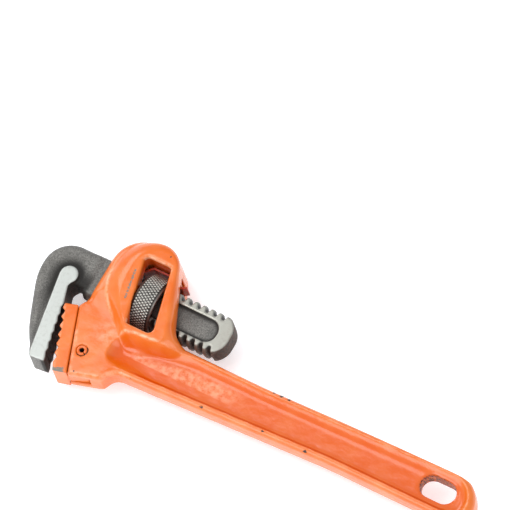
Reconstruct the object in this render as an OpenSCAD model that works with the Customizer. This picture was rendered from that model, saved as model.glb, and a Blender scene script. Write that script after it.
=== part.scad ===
// Adjustable pipe wrench, 250 mm size, lying flat on its side.
// X runs along the hook jaw's shank towards the handle end, Y towards the top of
// the nut housing and Z up. All outlines are drawn about the nut's centre and moved
// to the base at the end.

/* [Housing] */
// Distance from the nut's centre to the front wall of the housing
front_wall = 24.6; // [23:0.1:27]
// Height of the housing's top above the nut's centre
housing_top = 24.4; // [23:0.1:27]
// Angle of the housing's back wall from square
back_angle = 25; // [21:0.5:28]
// Distance from the nut's centre to the back wall, on the nut's axis
back_wall = 14; // [13:0.1:17]
// Thickness of the housing at its rim
housing_t = 16; // [14.5:0.5:19]
// Thickness over the two cheeks
cheek_t = 27; // [26.6:0.2:31]
// Radius of the housing's front corner
front_r = 15.5; // [10:0.5:17]
// Radius of the housing's back corner
back_r = 13; // [8:0.5:15]

/* [Nut window] */
// Width of the window along the shank
window_w = 13; // [12:0.1:14]
// Distance along the shank from the nut's centre to the window's middle
window_x = 0.7; // [0.2:0.1:1.2]
// Slant of the window's long sides
window_slant = 14.8; // [10:0.2:17]
// Gap above and below the nut in the window
window_gap = 2.2; // [1.8:0.1:3]

/* [Handle] */
// Distance from the nut's centre to the handle's end
handle_reach = 173.1; // [150:0.5:230]
// Distance from the shank's centre line to the handle's top edge
handle_top = 12.4; // [12.2:0.1:14]
// Width of the handle where it leaves the head
root_w = 23.1; // [20:0.1:24]
// Width of the handle at its waist
waist_w = 19.2; // [16.5:0.1:20]
// Distance from the nut's centre to the waist
waist_x = 105; // [95:0.5:125]
// Distance from the nut's centre to the bend in the handle's top edge
bend_x = 65; // [55:0.5:80]
// Width of the handle at its end
end_w = 22.1; // [20:0.1:24]
// Rise of the handle's top edge from the waist to the end
end_rise = 3.7; // [1:0.1:4]
// Thickness of the handle over its rims
handle_t = 13; // [11:0.5:15]
// Thickness of the web between the rims
web_t = 7; // [5:0.5:9]
// Width of the rims
rim_w = 3; // [2.4:0.1:3.6]
// Length of the hang hole
hang_l = 16.6; // [16:0.5:24]
// Width of the hang hole
hang_w = 10; // [8:0.2:11]
// Distance from the hang hole to the handle's end
hang_wall = 10.2; // [8.5:0.1:14]

/* [Head and heel jaw] */
// Drop from the handle's underside to the head's underside
head_drop = 5.6; // [4:0.1:7]
// Thickness of the head and the heel jaw
head_t = 14.4; // [13.6:0.2:15.8]
// Angle of the heel jaw from square to the shank
heel_angle = 20.5; // [18.5:0.2:21.5]
// Length of the heel jaw
heel_l = 31; // [29:0.1:33]
// Depth of the heel jaw from its seat to its tooth tips
heel_depth = 6.8; // [6.2:0.1:6.9]
// Tooth spacing of both jaws
tooth_pitch = 4.2; // [3.4:0.1:4.4]
// Depth of the heel jaw's teeth
heel_tooth = 1.3; // [0.8:0.1:1.8]
// Gap between the heel jaw and its seat
seat_gap = 0.15; // [0.05:0.01:0.25]
// Thickness of the heel jaw's tang
tang_t = 5.8; // [4:0.2:7]
// Distance from the top of the heel jaw to its pin
pin_along = 19.8; // [18:0.1:22]
// Distance from the seat back to the heel jaw's pin
pin_back = 4.7; // [3.6:0.1:4.8]
// Reach of the tang behind the seat
tang_reach = 9; // [8.4:0.2:10]
// Gap around the tang
tang_gap = 0.15; // [0.1:0.01:0.25]
// Radius of the heel jaw's pin
pin_r = 2.4; // [1.8:0.1:2.6]
// Wall of the rolled pin
pin_wall = 1.2; // [0.7:0.1:1.3]
// Width of the slot along the pin
pin_slot = 0.8; // [0.4:0.1:1]
// Distance that each pin end lies below the head's face
pin_sink = 0.5; // [0.2:0.1:1]

/* [Hook jaw] */
// Distance from the nut's centre to the front of the hook
hook_reach = 51.4; // [50.5:0.1:55]
// Distance from the shank's centre line to the hook's tip
hook_drop = 44.6; // [44:0.1:48]
// Height of the hook's back above the shank's centre line
hook_back = 9.1; // [8.4:0.1:9.7]
// Angle of the hook's tooth line from square to the shank
hook_angle = 12; // [10:0.2:13]
// Distance along the shank from the nut's centre to the foot of the tooth line
hook_throat = 32.8; // [32.8:0.1:36]
// Width of the hook's blunt tip
hook_tip_w = 6; // [4:0.1:6.5]
// Thickness of the hook's forging
hook_t = 12.4; // [11:0.2:13.6]
// Thickness over the ground band beside the teeth
band_t = 14; // [13.8:0.2:15]
// Width of the ground band
band_w = 6.8; // [5:0.1:8]
// Radius of the band's lobe round the throat
lobe_r = 4.2; // [3.6:0.1:4.8]
// Depth of the hook's teeth
hook_tooth = 1.3; // [0.8:0.1:1.8]

/* [Shank and nut] */
// Length of the shank behind the nut's centre
shank_reach = 39.8; // [38:0.1:48]
// Radius of the corners at the shank's end
shank_end_r = 8.6; // [6:0.1:9]
// Thickness of the shank
shank_t = 10.4; // [9:0.2:11]
// Radius of the thread's tips
thread_r = 10; // [9.2:0.1:10.2]
// Depth of the thread
thread_h = 2; // [1.2:0.1:2.2]
// Pitch of the thread
thread_pitch = 4; // [3.6:0.1:4.4]
// Width of the thread's groove at its root
groove_w = 1.2; // [0.9:0.1:1.4]
// Depth of the recess in each side of the shank
recess_d = 1.6; // [0.8:0.1:2]
// Length of the shank behind the recess
recess_wall = 6.2; // [5:0.1:8]
// Width of the recess
recess_w = 10.9; // [8:0.1:11.6]
// Distance of the recess's middle line below the shank's centre line
recess_shift = 0.6; // [0:0.1:0.8]
// Outer radius of the nut
nut_r = 13.2; // [13:0.05:13.3]
// Width of the nut
nut_w = 9.8; // [8.6:0.1:10.2]
// Chamfer of the nut's edges
nut_chamfer = 0.8; // [0.4:0.1:1]
// Radial gap in the thread
thread_gap = 0.35; // [0.3:0.01:0.45]
// Side gap in the thread
flank_gap = 0.25; // [0.2:0.01:0.3]
// Gap on each side of the nut in its pocket
nut_play = 0.8; // [0.75:0.05:1]
// Gap above and below the shank in its channel
shank_play = 0.9; // [0.75:0.05:1.1]
// Gap at each side of the shank in its channel
side_play = 0.35; // [0.3:0.01:0.5]

/* [Springs] */
// Thickness of the flat spring
leaf_t = 0.8; // [0.6:0.05:0.9]
// Width of the flat spring
leaf_w = 7.6; // [5:0.1:8]
// Outer radius of the coil spring
coil_r = 2.9; // [2.4:0.1:3.2]
// Diameter of the coil spring's wire
wire_d = 0.8; // [0.6:0.05:0.9]
// Height of the coil spring as fitted
coil_h = 8; // [6:0.1:8.2]
// Turns of the coil spring
coil_turns = 5; // [4:1:6]
// Radius of the rivet's body
rivet_r = 0.8; // [0.5:0.05:0.9]

/* [Hidden] */
$fn = 96;
orange = [0.95, 0.42, 0.2];
dark_steel = [0.3, 0.29, 0.28];
bright_steel = [0.62, 0.61, 0.59];
past = 30;
overlap = 6;
edge_r = 0.6;

// A closed outline with each corner [x, y, radius] rounded by an arc
function unit(v) = v / norm(v);
function turned(a) = a > 180 ? a - 360 : (a < -180 ? a + 360 : a);
function corner(a, b, c, r) =
    let(
        u = unit(a - b),
        v = unit(c - b),
        half = acos(u * v) / 2,
        centre = b + unit(u + v) * r / sin(half),
        start = b + u * r / tan(half) - centre,
        stop = b + v * r / tan(half) - centre,
        a0 = atan2(start.y, start.x),
        sweep = turned(atan2(stop.y, stop.x) - a0),
        n = max(2, ceil(abs(sweep) / 9))
    )
    [for (i = [0:n]) centre + r * [cos(a0 + sweep * i / n), sin(a0 + sweep * i / n)]];
function flat(p) = [p.x, p.y];
function rounded(pts) = let(n = len(pts)) [
    for (i = [0:n - 1])
        let(p = pts[i])
        each p.z > 0
            ? corner(flat(pts[(i + n - 1) % n]), flat(p), flat(pts[(i + 1) % n]), p.z)
            : [flat(p)]
];

// The jaws' frames: u runs down along the tooth line, v out of the seat
function heel_point(u, v) =
    seat_top + u * [sin(heel_angle), -cos(heel_angle)] - v * [cos(heel_angle), sin(heel_angle)];
function hook_point(u, v) =
    hook_foot + u * [sin(hook_angle), -cos(hook_angle)] + v * [cos(hook_angle), sin(hook_angle)];

// Nut, channel and window
nut_seat = nut_w / 2 + nut_play;
pocket_r = nut_r + 1;
pocket_h = cheek_t - 2;
window_half = nut_r + window_gap;
window_shift = window_half * tan(window_slant);
channel_floor = -thread_r - shank_play;
leaf_over = nut_r + 1.2;
leaf_low = thread_r + 0.3 + leaf_t / 2;
leaf_exit = leaf_low + 1.1;
channel_roof = leaf_exit + leaf_t / 2 + 0.15;
channel_t = shank_t + 2 * side_play;
leaf_slot_t = leaf_w + 1;
leaf_slot_top = leaf_over + leaf_t / 2 + 0.6;

// Housing and handle
function back_x(y) = back_wall - y * tan(back_angle);
handle_bottom = -handle_top - root_w;
waist_bottom = -handle_top + 0.8 - waist_w;
end_top = -handle_top + end_rise;
end_bottom = end_top - end_w;
end_top_r = end_w * 0.64;
end_low_r = end_w * 0.32;
sweep_r = 200;
head_step = [3, handle_bottom];
head_foot = [-0.8, handle_bottom - head_drop];
foot_r = 1.5;
step_r = 6;
hang_x = handle_reach - hang_wall - hang_l / 2;
hang_y = (end_top + end_bottom) / 2;
ledge_y = -12.4;
web_x = -4.5;
web_shoulder_x = 24;
web_shoulder_r = 30;
web_corner_r = 4;
cheek_inset = 3;
cheek_foot_y = housing_top - 2.5;
land_front = -13;
land_r = 4;

// Heel jaw
seat_top = [-front_wall - 1.3, -16.2];
seat_corner = seat_top + [-0.3, 0.5];
heel_end = heel_point(heel_l, 0);
heel_toe = heel_point(heel_l - 0.6, heel_depth - 0.4);
pin_at = heel_point(pin_along, -pin_back);
pin_hole_r = pin_r + 0.05;
tang_top = 5;
tang_end = heel_l - 1.5;
first_tooth = 1.2;
tooth_lean = 0.35 * tooth_pitch;
heel_teeth = floor((heel_l - 3) / tooth_pitch);

// Hook jaw
hook_foot = [-hook_throat, -17];
hook_len = (hook_drop - 0.7 + hook_foot.y) / cos(hook_angle);
tip_land = 2;
hook_teeth = floor((hook_len - tip_land) / tooth_pitch);
hook_tip = hook_point(hook_len, 0);
hook_chin = [-hook_reach + 9.2, -33.1];
throat = [hook_foot.x - 3, -7.6];
throat_r = 2.2;
jaw_foot_r = 3;
tip_r = 0.8;
lobe = throat + [-0.6, 2.2];
hook_root = -front_wall - 1.4;

// Thread
flank_slope = 0.35;
thread_root = thread_r - thread_h;
function groove_half(r) = groove_w / 2 + flank_slope * (r - thread_root);
helix_tilt = atan(thread_pitch / (2 * PI * (thread_r - thread_h / 2)));
first_groove = -2;
last_groove = floor((shank_reach - 6) / thread_pitch);
recess_start = -18;
bore_r = thread_r + thread_gap;
bore_chamfer = 0.6;
ridge_crest = thread_root + thread_gap;
ridge_base = bore_r + 0.4;
ridge_steps = 24;
ridge_turn_x = nut_w / 2 - groove_half(ridge_base) + flank_gap - 0.1;
ridge_half = floor(ridge_turn_x / thread_pitch * ridge_steps);

// Springs
coil_x = -15;
coil_foot = leaf_low + leaf_t / 2 + 0.05;
coil_mid = coil_r - wire_d / 2;

// Place of the nut's centre over the middle of the base
mid_x = (handle_reach - hook_reach) / 2;
mid_y = (housing_top + min(-hook_drop, heel_toe.y)) / 2;
module placed() {
    translate([-mid_x, -mid_y, cheek_t / 2]) children();
}

module plate(t) {
    translate([0, 0, -t / 2]) linear_extrude(t) children();
}

module both_faces(t, depth) {
    for (side = [-1, 1])
        translate([0, 0, side * (t / 2 - depth / 2)]) plate(depth) children();
}

// Body: housing, head and handle, cast in one piece
module body_outline() {
    polygon(rounded([
        [seat_corner.x, seat_corner.y, edge_r],
        [-front_wall, ledge_y, foot_r],
        [-front_wall, housing_top, front_r],
        [back_x(housing_top), housing_top, back_r],
        [back_x(-handle_top), -handle_top, 10],
        [bend_x, -handle_top, sweep_r],
        [handle_reach, end_top, end_top_r],
        [handle_reach, end_bottom, end_low_r],
        [waist_x, waist_bottom, sweep_r],
        [head_step.x, head_step.y, step_r],
        [head_foot.x, head_foot.y, foot_r],
        [heel_end.x, heel_end.y, edge_r]
    ]));
}

module head_outline() {
    polygon(rounded([
        [seat_corner.x, seat_corner.y, edge_r],
        [-front_wall, ledge_y, foot_r],
        [web_x - 1.5, ledge_y, 0],
        [web_x + 1.5, head_step.y + 1, 3],
        [head_foot.x, head_foot.y, foot_r],
        [heel_end.x, heel_end.y, edge_r]
    ]));
}

module housing_rim() {
    polygon(rounded([
        [-front_wall, ledge_y, foot_r],
        [-front_wall, housing_top, front_r],
        [back_x(housing_top), housing_top, back_r],
        [back_x(-handle_top) - 1, -handle_top - 1, 3],
        [-2, -handle_top - 5.5, 6]
    ]));
}

module cheek_foot() {
    polygon(rounded([
        [-front_wall + cheek_inset, 1, 8],
        [-front_wall + cheek_inset, cheek_foot_y, front_r - cheek_inset],
        [back_x(housing_top) - 2, cheek_foot_y, back_r - 2],
        [back_x(-handle_top) - cheek_inset, -handle_top, land_r],
        [1, -window_half - 3.4, 6],
        [land_front, ledge_y, 8]
    ]));
}

module cheek_land() {
    polygon(rounded([
        [land_front, -4, 6],
        [land_front, window_half + 1, land_r],
        [window_x + window_w / 2, window_half + 1.6, land_r],
        [back_x(-handle_top) - 7, -window_half + 0.6, 3],
        [-5, -window_half - 0.6, 5]
    ]));
}

module window_outline() {
    w = window_w / 2;
    polygon(rounded([
        [window_x - w - window_shift, window_half, 2],
        [window_x + w - window_shift, window_half, 2],
        [window_x + w + window_shift, -window_half, 2.4],
        [window_x - w + window_shift, -window_half, 1.2]
    ]));
}

module web_outline() {
    polygon(rounded([
        [web_x, -window_half - 4.6, 6],
        [web_shoulder_x, -handle_top - rim_w, web_shoulder_r],
        [bend_x, -handle_top - rim_w, sweep_r],
        [handle_reach - rim_w, end_top - rim_w, end_top_r - rim_w],
        [handle_reach - rim_w, end_bottom + rim_w, end_low_r - rim_w],
        [waist_x, waist_bottom + rim_w, sweep_r],
        [head_step.x, head_step.y + rim_w, web_corner_r],
        [web_x, head_step.y + rim_w + 1.4, web_corner_r]
    ]));
}

module handle_body() {
    placed() color(orange) difference() {
        union() {
            plate(handle_t) body_outline();
            plate(head_t) head_outline();
            plate(housing_t) housing_rim();
            hull() {
                plate(housing_t - 0.4) cheek_foot();
                plate(cheek_t) cheek_land();
            }
        }
        both_faces(handle_t + 2, (handle_t - web_t) / 2 + 1) web_outline();
        plate(cheek_t + 2) window_outline();
        // Channel for the shank, right through the housing
        translate([-past, channel_floor, -channel_t / 2])
            cube([past * 2, channel_roof - channel_floor, channel_t]);
        // Pocket that the nut turns in
        intersection() {
            rotate([0, 90, 0]) cylinder(r = pocket_r, h = 2 * nut_seat, center = true);
            cube([past, past * 2, pocket_h], center = true);
        }
        // Slot above the nut for the flat spring
        translate([-11, 0, -leaf_slot_t / 2]) cube([18.5, leaf_slot_top, leaf_slot_t]);
        // Blind hole for the coil spring
        translate([coil_x, channel_roof - 1, 0]) rotate([-90, 0, 0])
            cylinder(r = coil_r + 0.3, h = coil_foot + coil_h + 0.2 - channel_roof + 1);
        // Slot for the heel jaw's tang, open at the bottom
        plate(tang_t + 2 * tang_gap) polygon([
            heel_point(tang_top - 0.3, past / 10),
            heel_point(tang_top - 0.3, -tang_reach - 0.3),
            heel_point(heel_l + past, -tang_reach - 0.3),
            heel_point(heel_l + past, past / 10)
        ]);
        translate([pin_at.x, pin_at.y, 0]) cylinder(r = pin_hole_r, h = cheek_t, center = true);
        // Slotted hang hole
        for (side = [-1, 1])
            translate([hang_x + side * (hang_l - hang_w) / 2, hang_y, 0])
                cylinder(d = hang_w, h = cheek_t, center = true);
        translate([hang_x, hang_y, 0]) cube([hang_l - hang_w, hang_w, cheek_t], center = true);
    }
}

// Heel jaw: toothed block with a tang, held by one pin
function heel_tooth_line() = [
    for (i = [0:heel_teeth - 1])
        let(u = first_tooth + i * tooth_pitch)
        each [
            heel_point(u, heel_depth),
            heel_point(u + tooth_lean, heel_depth - heel_tooth)
        ]
];

module heel_jaw() {
    placed() color(orange) difference() {
        union() {
            plate(head_t) polygon(concat(
                [heel_point(-0.6, seat_gap), heel_point(-1, heel_depth - 0.6)],
                heel_tooth_line(),
                [heel_point(first_tooth + heel_teeth * tooth_pitch, heel_depth),
                 heel_toe,
                 heel_point(heel_l, seat_gap)]
            ));
            plate(tang_t) polygon([
                heel_point(tang_top, 1),
                heel_point(tang_top, -tang_reach),
                heel_point(tang_end, -tang_reach),
                heel_point(tang_end, 1)
            ]);
        }
        translate([pin_at.x, pin_at.y, 0]) cylinder(r = pin_hole_r, h = head_t + 2, center = true);
    }
}

// Rolled spring pin with a slot along it
module heel_jaw_pin() {
    placed() color(bright_steel) translate([pin_at.x, pin_at.y, 0]) difference() {
        cylinder(r = pin_r, h = head_t - 2 * pin_sink, center = true);
        cylinder(r = pin_r - pin_wall, h = head_t, center = true);
        rotate([0, 0, -30]) translate([0, -pin_slot / 2, -head_t / 2])
            cube([2 * pin_r, pin_slot, head_t]);
    }
}

// Hook jaw: hook, toothed face and threaded shank, forged in one piece
module hook_outline() {
    difference() {
        polygon(rounded([
            [hook_root + overlap, hook_back, 0],
            [-hook_reach + 0.3, hook_back, 12.5],
            [-hook_reach, -9.5, 25],
            [hook_chin.x, hook_chin.y, 40],
            [hook_tip.x - hook_tip_w, -hook_drop, tip_r],
            [hook_tip.x, hook_tip.y, edge_r],
            [hook_foot.x, hook_foot.y, jaw_foot_r],
            [throat.x, throat.y, throat_r],
            [hook_root + overlap, throat.y - 0.2, 0]
        ]));
        tooth_cuts();
    }
}

module tooth_cuts() {
    for (i = [0:hook_teeth - 1]) {
        u = hook_len - tip_land - i * tooth_pitch;
        polygon([
            hook_point(u, 0.5),
            hook_point(u, 0),
            hook_point(u - tooth_pitch + tooth_lean, -hook_tooth),
            hook_point(u - tooth_pitch, 0),
            hook_point(u - tooth_pitch, 0.5)
        ]);
    }
}

module band_outline() {
    difference() {
        union() {
            polygon([
                hook_tip,
                hook_point(hook_len + 0.3, -band_w + edge_r),
                hook_point(hook_len - 3, -band_w),
                [lobe.x - lobe_r, lobe.y - 1],
                lobe,
                throat,
                hook_foot
            ]);
            translate(lobe) circle(r = lobe_r);
        }
        tooth_cuts();
        polygon(rounded([
            [throat.x, throat.y, throat_r],
            [hook_foot.x, hook_foot.y, jaw_foot_r],
            [hook_foot.x + 10, hook_foot.y, 0],
            [hook_foot.x + 10, throat.y, 0]
        ]));
    }
}

module groove_ring(side) {
    rotate([0, side * helix_tilt, 0])
        intersection() {
            rotate([0, 90, 0]) rotate_extrude() polygon([
                [thread_root, -groove_half(thread_root)],
                [thread_r + thread_h, -groove_half(thread_r + thread_h)],
                [thread_r + thread_h, groove_half(thread_r + thread_h)],
                [thread_root, groove_half(thread_root)]
            ]);
            translate([-past / 2, side > 0 ? 0 : -past, -past / 2]) cube(past);
        }
}

module shank() {
    difference() {
        intersection() {
            plate(shank_t) polygon(rounded([
                [hook_root - 2, thread_r, 0],
                [shank_reach, thread_r, shank_end_r],
                [shank_reach, -thread_r, shank_end_r],
                [hook_root - 2, -thread_r, 0]
            ]));
            translate([-past * 2, 0, 0]) rotate([0, 90, 0]) cylinder(r = thread_r, h = past * 4);
        }
        for (k = [first_groove:last_groove]) {
            translate([k * thread_pitch, 0, 0]) groove_ring(1);
            translate([(k + 0.5) * thread_pitch, 0, 0]) groove_ring(-1);
        }
        both_faces(shank_t + 2, recess_d + 1) translate([0, -recess_shift]) polygon(rounded([
            [recess_start, recess_w / 2, 4],
            [shank_reach - recess_wall, recess_w / 2, 5],
            [shank_reach - recess_wall, -recess_w / 2, 5],
            [recess_start, -recess_w / 2, 4]
        ]));
    }
}

module hook_jaw() {
    placed() color(dark_steel) union() {
        plate(hook_t) intersection() {
            hook_outline();
            translate([-past * 3 + hook_root, -past * 2]) square([past * 3, past * 4]);
        }
        plate(band_t) band_outline();
        shank();
    }
}

// Adjusting nut with its inner thread, one start, right-handed
function ridge_half_w(r) = groove_half(r) - flank_gap;
function ridge_ring(i) =
    let(a = 360 * i / ridge_steps, x = thread_pitch * i / ridge_steps)
    [for (p = [[ridge_base, -1], [ridge_crest, -1], [ridge_crest, 1], [ridge_base, 1]])
        [x + p.y * ridge_half_w(p.x), p.x * cos(a), p.x * sin(a)]];

module thread_ridge() {
    n = 2 * ridge_half;
    points = [for (i = [-ridge_half:ridge_half]) each ridge_ring(i)];
    sides = [for (i = [0:n - 1], k = [0:3])
        let(a = 4 * i + k, b = 4 * i + (k + 1) % 4)
        each [[a, b + 4, b], [a, a + 4, b + 4]]];
    polyhedron(points, concat([[0, 1, 2, 3]], [[4 * n + 3, 4 * n + 2, 4 * n + 1, 4 * n]], sides));
}

module adjusting_nut() {
    half = nut_w / 2;
    placed() color(bright_steel) union() {
        rotate([0, 90, 0]) rotate_extrude() polygon([
            [bore_r + bore_chamfer, -half],
            [nut_r - nut_chamfer, -half],
            [nut_r, -half + nut_chamfer],
            [nut_r, half - nut_chamfer],
            [nut_r - nut_chamfer, half],
            [bore_r + bore_chamfer, half],
            [bore_r, half - bore_chamfer],
            [bore_r, -half + bore_chamfer]
        ]);
        thread_ridge();
    }
}

// Flat spring: passes over the nut and its tail shows behind the housing
function leaf_line() = [
    [-22, leaf_low], [-10, leaf_low], [-6.6, leaf_over], [4.4, leaf_over],
    [6.4, leaf_exit], [back_x(leaf_exit) + 0.4, leaf_exit], [back_x(leaf_exit) + 2.2, leaf_exit + 1.2]
];
function side_of(line, i, d) =
    let(
        a = line[max(0, i - 1)],
        b = line[min(len(line) - 1, i + 1)],
        p = line[i],
        u = i > 0 ? unit(p - a) : unit(b - p),
        v = i < len(line) - 1 ? unit(b - p) : u,
        m = unit([-u.y, u.x] + [-v.y, v.x])
    )
    p + m * d / (m * [-u.y, u.x]);

module flat_spring() {
    line = leaf_line();
    last = len(line) - 1;
    placed() color(orange) difference() {
        plate(leaf_w) polygon(concat(
            [for (i = [0:last]) side_of(line, i, leaf_t / 2)],
            [for (i = [last:-1:0]) side_of(line, i, -leaf_t / 2)]
        ));
        translate([coil_x, 0, 0]) rotate([-90, 0, 0]) cylinder(r = rivet_r + 0.05, h = housing_top);
    }
}

// Coil spring on the flat spring
module coil_spring() {
    sides = 8;
    steps = 18;
    n = coil_turns * steps;
    rise = (coil_h - wire_d) / n;
    points = [for (i = [0:n], k = [0:sides - 1])
        let(a = 360 * i / steps, b = 360 * k / sides, r = coil_mid + wire_d / 2 * cos(b))
        [r * cos(a), wire_d / 2 * (1 + sin(b)) + i * rise, r * sin(a)]];
    skin = [for (i = [0:n - 1], k = [0:sides - 1])
        let(a = sides * i + k, b = sides * i + (k + 1) % sides)
        each [[a, a + sides, b + sides], [a, b + sides, b]]];
    placed() color(bright_steel) translate([coil_x, coil_foot, 0]) polyhedron(points, concat(
        [[for (k = [0:sides - 1]) k]],
        [[for (k = [sides - 1:-1:0]) n * sides + k]],
        skin
    ));
}

// Rivet that holds the coil spring's foot on the flat spring
module spring_rivet() {
    placed() color(bright_steel) translate([coil_x, leaf_low - leaf_t / 2, 0]) rotate([-90, 0, 0]) union() {
        cylinder(r = rivet_r, h = leaf_t + 0.1);
        translate([0, 0, leaf_t + 0.05]) cylinder(r = coil_r - wire_d - 0.2, h = 0.6);
    }
}

handle_body();
heel_jaw();
heel_jaw_pin();
hook_jaw();
adjusting_nut();
flat_spring();
coil_spring();
spring_rivet();
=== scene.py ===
# Pipe wrench of the 250 mm size: painted casting, forged hook jaw, knurled nut, springs and pin.
import math

import bpy
import numpy as np
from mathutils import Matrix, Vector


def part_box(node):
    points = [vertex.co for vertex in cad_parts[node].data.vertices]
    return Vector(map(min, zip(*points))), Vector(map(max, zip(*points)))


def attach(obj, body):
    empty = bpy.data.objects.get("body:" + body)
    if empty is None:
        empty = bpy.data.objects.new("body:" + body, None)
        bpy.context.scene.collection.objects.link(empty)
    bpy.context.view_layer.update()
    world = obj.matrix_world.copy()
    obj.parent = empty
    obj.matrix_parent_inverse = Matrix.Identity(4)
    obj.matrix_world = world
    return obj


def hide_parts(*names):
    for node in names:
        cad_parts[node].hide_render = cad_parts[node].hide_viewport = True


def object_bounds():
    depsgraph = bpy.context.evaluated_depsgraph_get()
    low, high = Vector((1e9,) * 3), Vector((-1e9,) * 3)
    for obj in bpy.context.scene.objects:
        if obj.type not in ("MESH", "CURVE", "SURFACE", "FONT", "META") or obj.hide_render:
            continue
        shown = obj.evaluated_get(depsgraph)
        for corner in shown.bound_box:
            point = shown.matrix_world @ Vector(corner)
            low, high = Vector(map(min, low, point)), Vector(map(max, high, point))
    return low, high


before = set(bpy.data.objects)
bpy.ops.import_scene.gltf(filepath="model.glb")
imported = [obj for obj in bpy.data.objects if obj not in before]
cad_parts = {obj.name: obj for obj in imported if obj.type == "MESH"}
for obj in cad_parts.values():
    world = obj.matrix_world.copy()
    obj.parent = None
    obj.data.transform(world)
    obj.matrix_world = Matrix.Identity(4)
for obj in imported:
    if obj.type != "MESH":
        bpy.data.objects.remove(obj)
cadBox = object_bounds()
mm = 0.001
print("frame loaded")

# Every shape is worked out in millimetres about the nut's centre: x runs along the shank, y to the
# top of the housing and z out of the face
nutCentre = sum(np.array(corner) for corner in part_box("adjusting_nut")) / 2 / mm


def nodeBox(node):
    # Lowest and highest corner of a frame node, in millimetres about the nut's centre
    return tuple(np.array(corner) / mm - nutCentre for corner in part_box(node))


bodyLow, bodyHigh = nodeBox("handle_body")
hookLow, hookHigh = nodeBox("hook_jaw")
heelLow, heelHigh = nodeBox("heel_jaw")
coilLow, coilHigh = nodeBox("coil_spring")
nutHigh = nodeBox("adjusting_nut")[1]
pinHigh = nodeBox("heel_jaw_pin")[1]
leafHigh = nodeBox("flat_spring")[1]


# The cast and forged shapes are fields of distances: below 0 inside, above 0 outside, 0 on the skin

def unit(v):
    # The same direction, at a length of 1
    return v / np.linalg.norm(v)


def ramp(t):
    # Smooth step: 0 below 0, 1 above 1, flat at both ends
    t = np.clip(t, 0, 1)
    return t * t * (3 - 2 * t)


def mix(a, b, t):
    # From a where t is 0 to b where t is 1, in a straight line
    return a + (b - a) * t


def bell(d, peak, width):
    # 1 where d is at the peak, and less on both sides, as e to minus the square of the way from it
    return np.exp(-((d - peak) / width) ** 2)


def roundMax(a, b, r):
    # Overlap of two shapes whose shared edge is rounded to radius r
    return np.minimum(np.maximum(a, b), -r) + np.hypot(np.maximum(a + r, 0), np.maximum(b + r, 0))


def roundMin(a, b, r):
    # Join of two shapes with a fillet of radius r between them
    return -roundMax(-a, -b, r)


def cut(field, tool, edge=0.0):
    # What is left of a shape outside a tool, with the edge between them sharp or rounded
    return roundMax(field, -tool, edge) if edge else np.maximum(field, -tool)


def softMax(a, b, k):
    # The higher of two heights, blended over a band k wide
    h = np.clip(0.5 + (a - b) / (2 * k), 0, 1)
    return mix(b, a, h) + k * h * (1 - h)


def roundedLoop(corners, arcStep=0.1):
    # Closed outline: each corner [x, y, radius] is cut by the arc that touches both its sides, with
    # a point at about each arcStep radians
    corners = [np.array(corner, float) for corner in corners]
    points = []
    for i, here in enumerate(corners):
        before, after = corners[i - 1], corners[(i + 1) % len(corners)]
        if here[2] <= 0:
            points.append(here[:2])
            continue
        u, v = unit((before - here)[:2]), unit((after - here)[:2])
        half = math.acos(np.clip(u @ v, -1, 1)) / 2
        centre = here[:2] + unit(u + v) * here[2] / math.sin(half)
        start = here[:2] + u * here[2] / math.tan(half) - centre
        stop = here[:2] + v * here[2] / math.tan(half) - centre
        first = math.atan2(start[1], start[0])
        sweep = (math.atan2(stop[1], stop[0]) - first + math.pi) % (2 * math.pi) - math.pi
        angles = first + sweep * np.linspace(0, 1, max(3, round(abs(sweep) / arcStep)))
        points.extend(centre + here[2] * np.stack([np.cos(angles), np.sin(angles)], 1))
    return np.array(points)


def smoothLoop(points, steps=9):
    # Closed curve through a few points: between two of them it is the cubic whose slope at each is
    # half the step from the point before to the point after
    here = np.array(points, float)
    before, after, later = (np.roll(here, -k, 0)[:, None] for k in (-1, 1, 2))
    here = here[:, None]
    t = np.linspace(0, 1, steps, endpoint=False)[None, :, None]
    bend = (2 * before - 5 * here + 4 * after - later) * t ** 2
    bend = bend + (3 * here - before - 3 * after + later) * t ** 3
    return (here + 0.5 * ((after - before) * t + bend)).reshape(-1, 2)


def loopDistance(loop, x, y):
    # Distance to a closed outline, negative inside: the nearest side gives its size, and the
    # number of sides that a level ray crosses gives its sign
    nearest = np.full(np.shape(x), 1e9)
    inside = np.zeros(np.shape(x), bool)
    for (ax, ay), (bx, by) in zip(loop, np.roll(loop, -1, 0)):
        dx, dy = bx - ax, by - ay
        t = np.clip(((x - ax) * dx + (y - ay) * dy) / (dx * dx + dy * dy + 1e-12), 0, 1)
        nearest = np.minimum(nearest, (x - ax - t * dx) ** 2 + (y - ay - t * dy) ** 2)
        if dy != 0:
            inside ^= ((ay > y) != (by > y)) & (x < ax + (y - ay) * dx / dy)
    return np.where(inside, -1, 1) * np.sqrt(nearest)


def slopeFix(height, xs, ys):
    # Length of the upright gap per length of true gap, for a surface of varying height
    gx, gy = np.gradient(height, xs, ys)
    return np.sqrt(1 + gx ** 2 + gy ** 2)


def gridAxes(low, high, step):
    # Grid lines at equal steps from just outside one corner of a box to just outside the other,
    # with those along z centred on the middle plane
    xs, ys, zs = (np.arange(low[k] - 0.9, high[k] + 1.0, step) for k in range(3))
    return xs, ys, zs - (zs[0] + zs[-1]) / 2


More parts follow.
